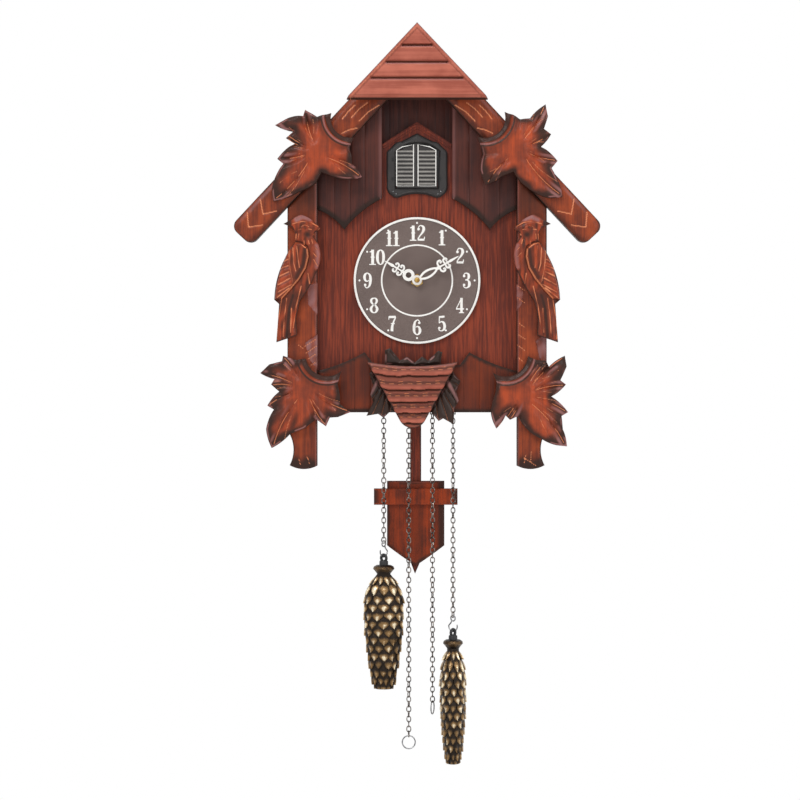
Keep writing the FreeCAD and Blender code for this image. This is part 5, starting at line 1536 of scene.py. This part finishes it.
def frame_ring(name, node, relief):
    """A moulded frame round an opening: relief(from_outside, from_inside) is its depth under the front.

    The opening is up to ROOM wider on its right, where the white line swings past the frame."""
    rings = sorted(outlines(node), key=lambda ring: np.ptp(ring[:, 0]) * np.ptp(ring[:, 1]))
    hole, outer = rings[0], rings[-1]
    low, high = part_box(node)
    front, back = -low.y / MM, -high.y / MM
    centre, angles = hole.mean(0), around(RAYS)
    near, far = crossing(hole, centre, angles), crossing(outer, centre, angles)
    eased = np.convolve(np.concatenate([far[-5:], far, far[:5]]), np.full(11, 1 / 11), "valid")
    far = np.minimum(far, eased + 0.35)
    near = near + ROOM * np.clip(np.cos(angles), 0, 1) ** 4
    outer_reaches, inner_reaches = [far - d for d in OUTWARD], [near + d for d in INWARD]
    start, width = outer_reaches[-1], inner_reaches[0] - outer_reaches[-1]
    middle = [start + width * k / (BETWEEN + 1) for k in range(1, BETWEEN + 1)]
    reaches = outer_reaches + middle + inner_reaches + [near, far]
    depths = [front - relief(far - reach, reach - near) for reach in reaches[:-2]] + 2 * [np.full(RAYS, back)]
    verts = [(centre[0] + r * math.cos(a), -d, centre[1] + r * math.sin(a))
             for reach, depth in zip(reaches, depths) for r, a, d in zip(reach, angles, depth)]
    solid = Solid()
    solid.add(verts, joined(len(reaches), RAYS, closed=True))
    solid.finish(name, body_of[node], slot_of[node], (node,), 60)


def door_relief(outside, inside):
    edge = 1.3 * ridge(outside, 0.7) - 0.5 * ridge(outside - 1.5, 0.6)
    bead = 1.1 * ridge(inside, 0.5) - 0.5 * ridge(inside - 1.2, 0.5)
    return 0.7 + edge + bead + 0.3 * ridge(outside - 2.8, 0.8)


frame_ring("door_surround.moulded", "door_surround", door_relief)

# %% Hinges and gable moulding
DOOR_FRONT = -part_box("door_surround")[0].y / MM
HINGE_PLACES = [(x, z) for x in (-22.6, 21.4) for z in (-32.4, -50.4)]
hinges = Solid()
for x, z in HINGE_PLACES:
    hinges.lathe((x, -(DOOR_FRONT - 0.7), z), [(-1.6, 0.3), (-1.3, 0.75), (1.3, 0.75), (1.6, 0.3)], 12, "z")
    hinges.lathe((x + 0.9, -(DOOR_FRONT - 0.9), z), [(-0.9, 0.35), (0.9, 0.35)], 8, "x")
hinges.finish("door_hinges", "case", "black_plastic")

HALF_GABLE = [(32, -18.2), (27, -15.6), (20.5, -11.4), (9, -4.6)]
MOULDING_TIERS = ((2.2, 2.1, 92.7), (1.2, 0.75, 93.3), (3.6, 0.4, 93.0))
gable_line = [(-x, z) for x, z in HALF_GABLE] + [(0, 0.2)] + HALF_GABLE[::-1]
moulding = Solid()
for drop, half, front in MOULDING_TIERS:
    moulding.ribbon([(x, z - drop, half) for x, z in gable_line], 91.9, front)
moulding.finish("gable_moulding", "case", "stained_wood")

# %% Rivets in the door frame
rivets = {"Count": 4, "Across": 44.0 * MM, "Rise": 5.5 * MM, "Head": 0.75 * MM,
          "Place": (0.0, (0.5 - DOOR_FRONT) * MM, -62.5 * MM)}
knob, index = tree("rivets in two pairs", rivets)
side = index.math("MODULO", index, 2.0)
row = index.math("FLOOR", index / 2)
across = (side - 0.5) * knob["Across"] * (1 - row * 0.12)
offset = vector(index, X=across, Z=row * knob["Rise"] * -0.4)
head = index.make("GeometryNodeMeshUVSphere", None, {"Segments": 12, "Rings": 6, "Radius": knob["Head"]})
result = set_at(knob, index, offset, head)
grow("door_rivets", result, rivets, "zinc_steel", "case")


# %% Shutters and their slats
def slats(name, body, centre_x, width):
    """Nine slanting slats above one another, all of one width."""
    sizes = {"Count": 9, "Pitch": 3.75 * MM, "Tilt": -0.5, "Slat": (width * MM, 0.3 * MM, 1.05 * MM),
             "Place": (centre_x * MM, -94.1 * MM, -55.0 * MM)}
    knob, index = tree(name, sizes)
    offset = vector(index, Z=index * knob["Pitch"])
    stick = index.make("GeometryNodeMeshCylinder", None, {"Vertices": 12, "Radius": 1.0, "Depth": 1.0})
    level = index.make("GeometryNodeTransform", None, {"Geometry": stick, "Rotation": (0, math.pi / 2, 0)})
    slat = index.make("GeometryNodeTransform", None, {"Geometry": level, "Scale": knob["Slat"]})
    result = set_at(knob, index, offset, slat, vector(index, X=knob["Tilt"]))
    grow(name, result, sizes, "slat_plastic", body)


FIELD_FOOT, FIELD_OUTER_TOP, FIELD_SHOULDER, FIELD_INNER_TOP = -57.2, -24.0, -20.9, -18.9


def shutter(side, outer_x, inner_x):
    """A leaf with a sunk field, nine slats in it and a white line round the field."""
    node = f"shutter_{side}"
    body = body_of[node]
    shoulder_x = (outer_x * 2 + inner_x) / 3
    field = [(outer_x, FIELD_FOOT), (outer_x, FIELD_OUTER_TOP), (shoulder_x, FIELD_SHOULDER),
             (inner_x, FIELD_INNER_TOP), (inner_x, FIELD_FOOT)]
    window = np.array(field)

    def shape(points, edge):
        inside = np.where(within(points, window), 1, -1) * away(points, window, True)
        return 0.25 + 1.2 * rise(inside, 0.0, 0.5) + 0.3 * ridge(edge, 0.4), {}

    carve(node + ".leaf", node, shape, 0.6)
    line = Solid()
    line.ribbon([(x, z, 0.45) for x, z in field], 94.2, 94.86, closed=True, smooth=False)
    line.finish(f"{node}.line", body, "hand_enamel")
    slats(f"{node}.slats", body, (outer_x + inner_x) / 2, abs(outer_x - inner_x) - 0.9)


shutter("left", -18.9, -3.3)
shutter("right", 17.4, 0.95)

# %% [markdown]
# ## Chains
# A link is one ring of round wire, pressed to an oval. Each link stands across the one before it. The
# tree takes the count, the pitch and the sizes of a link, and one seed turns every link a little.

# %% Chains of oval links
LINKS_START, LINK_PITCH, CHAINS_OUT = -266.0, 4.65, 77
LEFT_WEIGHT_X, LEFT_PULL_X, RIGHT_PULL_X, RIGHT_WEIGHT_X = -31.0, -7.6, 14.6, 33.8


def chain(node, count, x, start, seed):
    """A strand of links at x, whose first link is turned by start."""
    sizes = {"Count": count, "Pitch": LINK_PITCH * MM, "Half width": 1.98 * MM, "Half length": 2.88 * MM,
             "Wire": 0.5 * MM, "Start": start, "Play": 0.3, "Seed": seed,
             "Place": (x * MM, -CHAINS_OUT * MM, (LINKS_START - LINK_PITCH) * MM)}
    knob, index = tree("links of " + node, sizes)
    drop = vector(index, Z=index * knob["Pitch"] * -1)
    ring = index.make("GeometryNodeCurvePrimitiveCircle", None, {"Resolution": 14, "Radius": 1.0})
    oval = vector(index, X=knob["Half width"], Y=knob["Half length"], Z=1.0)
    flat = index.make("GeometryNodeTransform", None, {"Geometry": ring, "Scale": oval})
    upright = index.make("GeometryNodeTransform", None, {"Geometry": flat, "Rotation": (math.pi / 2, 0, 0)})
    profile = index.make("GeometryNodeCurvePrimitiveCircle", None, {"Resolution": 6, "Radius": knob["Wire"]})
    link = index.make("GeometryNodeCurveToMesh", None, {"Curve": upright, "Profile Curve": profile})
    loose = random_turn(index, knob["Play"] * -1, knob["Play"], knob["Seed"])
    quarter = (index + 1) * (math.pi / 2)
    result = set_at(knob, index, drop, link, vector(index, Z=quarter + knob["Start"] + loose))
    grow(node + ".links", result, sizes, "antique_steel", body_of[node], (node,))


chain("chain_left", 26, LEFT_WEIGHT_X, 0.25, 1)
chain("pull_chain_left", 65, LEFT_PULL_X, -0.15, 2)
chain("pull_chain_right", 58, RIGHT_PULL_X, 0.2, 3)
chain("chain_right", 41, RIGHT_WEIGHT_X, -0.25, 4)

# %% [markdown]
# ## Hooks, rings and weights
# An S-hook is bent from one length of zinc wire: a closed eye on the last link, then an open hook. The
# pull rings are butt-jointed rings of the same wire. Each weight is a fir cone, cast and bronzed:
# a flared collar, and fourteen rows of scales that overlap downwards like slates.

# %% Hooks and rings
def arc(radius, z, degrees, sign=1):
    """Points (across, height) of an arc about a height; a negative sign mirrors it."""
    return [(sign * radius * math.cos(a), z + radius * math.sin(a)) for a in np.radians(degrees)]


def turned_about(points, x, turn):
    """Points (across, height) of a flat shape, turned about the upright line at x in the chains' plane."""
    cos, sin = math.cos(math.radians(turn)), math.sin(math.radians(turn))
    return np.array([(x + across * cos, -CHAINS_OUT + across * sin, z) for across, z in points])


def hook(side, sign, x, eye_z, turn):
    """One wire: round the eye, past its foot and round the open hook, which opens on the sign's side."""
    eye = arc(2.6, eye_z, range(-100, 245, 15), sign)
    bend = arc(5.05, eye_z - 7.4, range(175, 384, 12), sign)
    path = turned_about([*eye, (sign * -2.4, eye_z - 4.2), *bend], x, -sign * turn)
    solid = Solid()
    radius = np.full(len(path), 0.62)
    radius[-2:] = (0.55, 0.42)
    solid.tube(path, radius, 10)
    solid.finish(f"s_hook_{side}.wire", body_of[f"s_hook_{side}"], "zinc_steel", (f"s_hook_{side}",))


hook("left", -1, LEFT_WEIGHT_X, -390.2, 50)
hook("right", 1, RIGHT_WEIGHT_X, -459.95, 40)
RING_STEPS = 39


def pull_ring(side, x, z, turn):
    """A closed ring of wire about a height."""
    circle = arc(6.05, z, np.arange(RING_STEPS) * 360 / RING_STEPS)
    solid = Solid()
    solid.tube(turned_about(circle, x, turn), 0.6, 10, closed=True, per_step=1)
    solid.finish(f"pull_ring_{side}.wire", body_of[f"pull_ring_{side}"], "zinc_steel", (f"pull_ring_{side}",))


pull_ring("left", LEFT_PULL_X, -575.95, 0)
pull_ring("right", RIGHT_PULL_X, -543.4, 75)

# %% The core of a weight
# A profile's rows are a share of the length, and shares of the half width and the half depth.
CONE_LENGTH, CONE_HALF, CONE_DEEP = 115.8, 20.2, 13.4
COLLAR = [(0, 0.34, 0.5), (0.012, 0.46, 0.66), (0.03, 0.5, 0.7), (0.045, 0.42, 0.58), (0.07, 0.31, 0.42),
          (0.095, 0.36, 0.42)]
BODY = [(0.13, 0.54, 0.5), (0.2, 0.76, 0.7), (0.32, 0.87, 0.82), (0.55, 0.82, 0.8), (0.8, 0.64, 0.64),
        (0.95, 0.46, 0.46), (1, 0.36, 0.4)]
ROWS_OF_SCALES, SCALES_ROUND = 14, 10
CORE_DOWNS = [down for down, _, _ in COLLAR] + list(np.linspace(BODY[0][0], 1, 18))
CORE_SIDES = 40


def cone_at(down):
    """Half width and half depth of the cone's core at a share of its length."""
    downs, wides, deeps = zip(*(COLLAR + BODY))
    return np.interp(down, downs, wides) * CONE_HALF, np.interp(down, downs, deeps) * CONE_DEEP


def scale_points(row, place):
    """The middle of a scale's root, the way it faces, its width and its share of the cone's length."""
    down = 0.1 + 0.855 * row / (ROWS_OF_SCALES - 1)
    half, deep = cone_at(down)
    angle = 2 * math.pi * (place + 0.5 * (row % 2)) / SCALES_ROUND
    facing = math.atan2(math.sin(angle) / deep, math.cos(angle) / half)
    spot = np.array([half * math.cos(angle), deep * math.sin(angle)])
    step = np.array([-half * math.sin(angle), deep * math.cos(angle)]) * 2 * math.pi / SCALES_ROUND
    return spot, facing, np.linalg.norm(step), down


print("widest:", round(2 * max(cone_at(down)[0] for down in CORE_DOWNS), 1), "mm, before the scales")

# %% One scale
# A scale's outline: how far along it, and how wide there; then the places across it, from edge to edge.
SCALE_LENGTH, SCALE_WALL = 11.6, 1.8
SCALE_STEPS = [(0, 0.8), (0.25, 0.95), (0.45, 1.0), (0.65, 0.86), (0.82, 0.58), (0.94, 0.28), (1.0, 0.06)]
SCALE_ACROSS = [-1, -0.8, -0.45, -0.12, 0, 0.12, 0.45, 0.8, 1]


def one_scale(row, place, random):
    """A pointed scale with a keel along its middle, closed behind: its points, their shine and its faces."""
    spot, facing, width, down = scale_points(row, place)
    out = np.array([math.cos(facing), math.sin(facing)])
    along = np.array([-out[1], out[0]])
    half_width = width * random.uniform(0.46, 0.58)
    long = SCALE_LENGTH * (0.8 if row == 0 else 1) + random.uniform(-0.6, 0.6)
    lift, lean = random.uniform(1.1, 2.0), random.uniform(-0.9, 0.9)
    root = -(down * CONE_LENGTH - 2.5)
    # The shine is a painted highlight, stronger on the upper rows as if lit from above; each scale varies at
    # random.
    glow = random.uniform(0.75, 1.15) * (1.22 - 0.42 * down)
    here = sum(cone_at(down))
    verts, shine = [], []
    dull = 0.0 if row < 2 else 0.24
    for step, wide in SCALE_STEPS:
        z = max(root - long * step, -CONE_LENGTH + 0.4)
        shrink = sum(cone_at(min(1, -z / CONE_LENGTH))) / here
        for u in SCALE_ACROSS:
            keel = (1 - abs(u)) ** 1.6 * 1.1 * min(1, step * 2)
            raised = -0.3 + lift * step ** 0.8 - 1.0 * u * u * step + keel
            flat = spot * shrink + along * (u * half_width * wide + lean * step) + out * raised
            verts.append((flat[0], flat[1], z))
            shine.append(min(1, max(0, step - dull) * 2.6) * (1 - 0.62 * abs(u) ** 1.4) * glow)
    rows, columns = len(SCALE_STEPS), len(SCALE_ACROSS)
    front = len(verts)
    verts += [(x - out[0] * SCALE_WALL, y - out[1] * SCALE_WALL, z) for x, y, z in verts]
    shine += [0.0] * front
    faces = []
    for i in range(rows - 1):
        for k in range(columns - 1):
            a = i * columns + k
            faces.append((a, a + columns, a + columns + 1, a + 1))
            faces.append((front + a, front + a + 1, front + a + columns + 1, front + a + columns))
    right_side = [i * columns + columns - 1 for i in range(1, rows)]
    tip = list(range(rows * columns - 2, (rows - 1) * columns - 1, -1))
    left_side = [i * columns for i in range(rows - 2, 0, -1)]
    rim = [*range(columns), *right_side, *tip, *left_side]
    faces += [(a, b, front + b, front + a) for a, b in zip(rim, rim[1:] + rim[:1])]
    return verts, shine, faces


print("one scale has", len(one_scale(0, 0, np.random.default_rng(0))[2]), "faces")


# %% Weights and their plugs
def weight(side, x, top, quarter_turn, seed):
    """A core with all its scales; quarter_turn stands it edge on."""
    node = f"cone_{side}"
    random = np.random.default_rng(seed)
    verts, proud_and_shine = [], []
    for down in CORE_DOWNS:
        half, deep = cone_at(down)
        verts += [(half * math.cos(a), deep * math.sin(a), -down * CONE_LENGTH) for a in around(CORE_SIDES)]
        proud_and_shine += [0.42 if 0.01 < down < 0.05 else 0.12] * CORE_SIDES
    faces = joined(len(CORE_DOWNS), CORE_SIDES)
    for row in range(ROWS_OF_SCALES):
        for place in range(SCALES_ROUND):
            grown, shine, sides = one_scale(row, place, random)
            first = len(verts)
            verts += grown
            proud_and_shine += shine
            faces += [tuple(first + i for i in face) for face in sides]
    points = np.array(verts)
    if quarter_turn:
        points = np.column_stack([-points[:, 1], points[:, 0], points[:, 2]])
    points += (x, -CHAINS_OUT, top)
    made = piece(node + ".scales", points, faces, "bronze_cast", {"proud_and_shine": proud_and_shine}, 45)
    outward(made.data)
    made.data.set_sharp_from_angle(angle=math.radians(45))
    settle(made, node)
    print(f"{made.name}: {len(faces)} faces")


weight("left", LEFT_WEIGHT_X, -410.2, False, 3)
weight("right", RIGHT_WEIGHT_X, -479.95, True, 7)


def plug(side, x, eye_z, turn):
    """The black plug in the collar: a round foot with a thick loop that the hook passes through."""
    node = f"weight_plug_{side}"
    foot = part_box(node)[0].z / MM
    profile = [(foot, 3.6), (foot + 0.5, 4.1), (eye_z - 3.2, 4.1), (eye_z - 2.4, 3.6), (eye_z - 2.2, 2.2)]
    solid = Solid()
    solid.lathe((x, -CHAINS_OUT, 0), profile, 24, "z")
    loop = arc(3.1, eye_z, range(-60, 241, 12))
    solid.tube(turned_about([(2.2, eye_z - 4.0), *loop, (-2.2, eye_z - 4.0)], x, turn), 1.35, 12)
    solid.finish(node + ".moulded", body_of[node], "black_plastic", (node,))


plug("left", LEFT_WEIGHT_X, -403.7, -40)
plug("right", RIGHT_WEIGHT_X, -473.45, 50)

# %% [markdown]
# ## Pendulum
# The pendulum is a strip of stained wood with a shield glued on its front and a cross bar over that.
# All three are sprayed dark along their edges; the bar has a highlight painted along its arris above
# and below, and the shield one along its bevel.

# %% Pendulum boards
def shield_shape(points, edge):
    across = points[:, 0] + 0.8 * wobble(points, 24)
    glow = np.maximum(ridge(across + 13, 6.5), 0.85 * ridge(across - 12, 4.5))
    burnt = np.maximum((1 - rise(edge + 1.2 * wobble(points, 14), 0.3, 5)) * 0.8, 0.42 * (1 - glow))
    right = rise(points[:, 0], 16, 23) * 0.85
    bevel = 1.2 * ridge(edge, 0.9)
    # A highlight painted along the bevel.
    pale = ridge(edge - 1.0, 0.45) * rise(wobble(points, 24, 5), -0.3, 0.5) * 0.5
    return 0.15 + bevel + 0.1 * wobble(points, 6), {
        "burnt": np.clip(np.maximum(burnt, right) - pale, 0, 1), "pale": pale}


def bar_shape(points, edge):
    low, high = (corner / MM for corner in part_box("pendulum_bar"))
    ends = np.minimum(points[:, 0] - low.x, high.x - points[:, 0])
    rims = np.minimum(points[:, 1] - low.z, high.z - points[:, 1])
    # A highlight painted along each arris.
    pale = ridge(rims - 1.0, 0.45) * 0.6
    burnt = np.maximum(0.8 * (1 - rise(ends, 1, 8)), 0.35 * (1 - rise(rims, 0.6, 3)))
    return 0.2 + 1.1 * ridge(edge, 0.9), {"burnt": np.clip(burnt - pale, 0, 1), "cut": pale * 0.6}


def rod_shape(points, edge):
    burnt = 0.75 * (1 - rise(edge, 0.2, 2.4))
    return 0.15 + 0.9 * ridge(edge, 1.0), {"burnt": burnt}


carve("pendulum_bob.carved", "pendulum_bob", shield_shape, 1.0)
carve("pendulum_bar.carved", "pendulum_bar", bar_shape, 0.8)
ROD_END = -404
rod = outline("pendulum_rod")
straight = rod[rod[:, 1] > ROD_END]
(left, _), (right, top) = straight.min(0), straight.max(0)
rod_ring = np.array([(left, ROD_END - 4), (-1.6, -420), (right, ROD_END - 2.5), (right, top), (left, top)])
carve("pendulum_rod.carved", "pendulum_rod", rod_shape, 1.0, rod_ring)

# %% [markdown]
# A thin black strip closes the joint between the shutters and the board behind them; it is painted
# shade, standing in for the dark of that gap.

# %% Door shade strip
LOW_PART = -50
opening = min(outlines("door_surround"), key=lambda ring: np.ptp(ring[:, 0]) * np.ptp(ring[:, 1]))
centre = opening.mean(0)
inset = centre + (opening - centre) * np.where(opening[:, 1:] < LOW_PART, 0.99, 0.955)
shade_strip = Solid()
shade_strip.ribbon([(x, z, 0.4 if z < LOW_PART else 1.6) for x, z in inset], 91.8, 92.4, closed=True, smooth=False)
shade_strip.finish("door_shade_strip", "case", "black_plastic")

# %% [markdown]
# ## Cuckoo and small hardware
# The cuckoo is a small moulded bird on its slider: a brown body, wings laid along its sides, black
# bead eyes and an open yellow beak. Countersunk screws hold the back panel to the case.
# Their holes are bored into a copy of the panel; then one screw is drawn once and set into each hole by
# a geometry tree, every slot turned its own way, as hand-driven screws stand.

# %% Cuckoo
# Places on the bird are distances behind its beak and heights over its foot.
low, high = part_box("cuckoo")
BEAK, BIRD_BASE = -low.y / MM, low.z / MM
BIRD_STATIONS = [(40, 6.2, 2.6, 0.5), (34, 6.9, 2.9, 1.3), (29, 7.8, 2.5, 2.3), (23, 9.8, 4.2, 4.2),
                 (16, 12.2, 5.1, 5.3), (12, 14.4, 4.5, 4.7), (8, 16.4, 4.2, 4.2), (5.4, 17.2, 3.1, 3.2),
                 (4.2, 17.3, 1.9, 2.0)]


def on_cuckoo(*places):
    """Points (across, behind the beak, height over the foot) in their place."""
    return [(across, behind - BEAK, BIRD_BASE + height) for across, behind, height in places]


def skinned(solid, stations):
    """A closed body through ellipses: (distance behind the beak, height, half width, half height)."""
    rows, sides = smooth_path(stations, 4), 24
    verts = []
    for behind, height, wide, tall in rows:
        wide, tall = max(wide, 0.1), max(tall, 0.1)
        ellipse = [(wide * math.cos(a), behind, height + tall * math.sin(a)) for a in around(sides)]
        verts += on_cuckoo(*ellipse)
    solid.add(verts, joined(len(rows), sides))


bird = Solid()
skinned(bird, BIRD_STATIONS)
bird.tube(on_cuckoo((0, 17.5, 0), (0, 17.2, 6), (0, 16.5, 10)), 0.9, 10)
bird.finish("cuckoo.body", "cuckoo", "bird_plastic", ("cuckoo",))

# %% The cuckoo's wings, beak and eyes
EYE_PROFILE = [(-0.8, 0.3), (-0.6, 0.8), (0, 1.0), (0.6, 0.8), (0.8, 0.3)]
wings, beak, eyes = Solid(), Solid(), Solid()
for side in (-1, 1):
    for feather in range(5):
        start, drop = 13 + 2.2 * feather, 12.5 - 1.1 * feather
        wings.tube(on_cuckoo((side * (4.7 - 0.1 * feather), start, drop + 1.6),
                             (side * (4.6 - 0.35 * feather), start + 6, drop - 0.6),
                             (side * (2.9 - 0.2 * feather), start + 13, drop - 3.4)), (0.7, 0.75, 0.25), 8)
    eyes.lathe(on_cuckoo((side * 3.1, 7, 18.4))[0], EYE_PROFILE, 12, "x")
for tip, lift in ((0.3, 17.5), (1.1, 16.5)):
    beak.tube(on_cuckoo((0, 4.6, 17), (0, 2.4, lift - 0.1), (0, tip, lift)), (1.3, 0.8, 0.15), 10)
wings.finish("cuckoo.wings", "cuckoo", "dark_wood")
beak.finish("cuckoo.beak", "cuckoo", "brass_trim")
eyes.finish("cuckoo.eyes", "cuckoo", "black_plastic")

# %% Holes bored into the back panel
# The back is let in between the sides; its screws stand near its long edges, where blocks glued into
# the corners of such a case take them.
low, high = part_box("back_panel")
SCREW_X, LOWEST_SCREW = high.x / MM - 4, low.z / MM + 16
SCREW_RISE, SCREW_ROWS, HEAD_RADIUS = 80.0, 3, 2.2
COUNTERSINK = [(-1, HEAD_RADIUS + 0.5), (0.3, HEAD_RADIUS + 0.2), (0.9, HEAD_RADIUS + 0.2)]
drill = Solid()
for x in (-SCREW_X, SCREW_X):
    for row in range(SCREW_ROWS):
        drill.lathe((x, 0, LOWEST_SCREW + row * SCREW_RISE), COUNTERSINK, 32)
drill = piece("drill", drill.verts, drill.faces, "black_plastic")
outward(drill.data)
panel = frame["nodes"]["back_panel"]
bored = bpy.data.objects.new("back_panel.bored", panel.data.copy())
bored.matrix_world = panel.matrix_world.copy()
scene.collection.objects.link(bored)
cut = bored.modifiers.new("screw holes", "BOOLEAN")
cut.object, cut.operation, cut.solver = drill, "DIFFERENCE", "EXACT"
cut_mesh = bpy.data.meshes.new_from_object(bored.evaluated_get(bpy.context.evaluated_depsgraph_get()))
bored.modifiers.clear()
bored.data = cut_mesh
bpy.data.objects.remove(drill)
settle(bored, "back_panel")
before, after = len(panel.data.polygons), len(cut_mesh.polygons)
print("back panel:", before, "faces before the screw holes,", after, "after")


# %% Screws in the back
def screws(name, body, sizes):
    """Screws on a grid on the back: a flat head with a slot, set again and again."""
    knob, index = tree(name, sizes)
    column = index.math("MODULO", index, knob["Columns"])
    row = index.math("FLOOR", index / knob["Columns"])
    offset = vector(index, X=column * knob["Across"], Z=row * knob["Rise"])
    disc_inputs = {"Vertices": 24, "Radius": knob["Head"], "Depth": knob["Head thickness"]}
    disc = index.make("GeometryNodeMeshCylinder", None, disc_inputs)
    slot_size = vector(index, X=knob["Head"] * 1.7, Y=knob["Slot width"], Z=knob["Slot depth"] * 2)
    slot = index.make("GeometryNodeMeshCube", None, {"Size": slot_size})
    head = index.make("GeometryNodeMeshBoolean", {"operation": "DIFFERENCE"}, {0: disc, 1: slot})
    turned = index.make("GeometryNodeTransform", None, {"Geometry": head, "Rotation": (math.pi / 2, 0, 0)})
    turn = vector(index, Y=random_turn(index, 0.0, 3.1, knob["Seed"]))
    result = set_at(knob, index, offset, turned, turn)
    grow(name, result, sizes, "zinc_steel", body)


screws("back_screws", "case", {
    "Columns": 2, "Count": 2 * SCREW_ROWS, "Across": 2 * SCREW_X * MM, "Rise": SCREW_RISE * MM,
    "Head": HEAD_RADIUS * MM, "Head thickness": 0.6 * MM, "Slot width": 0.4 * MM, "Slot depth": 0.4 * MM,
    "Seed": 5, "Place": (-SCREW_X * MM, -0.4 * MM, LOWEST_SCREW * MM)})

# %% Sizes of the frame and of the finished model
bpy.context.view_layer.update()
for whose, (low, high) in (("frame", cad_box), ("finished model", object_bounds())):
    print(whose, "in millimetres:", [round((b - a) / MM, 1) for a, b in zip(low, high)])
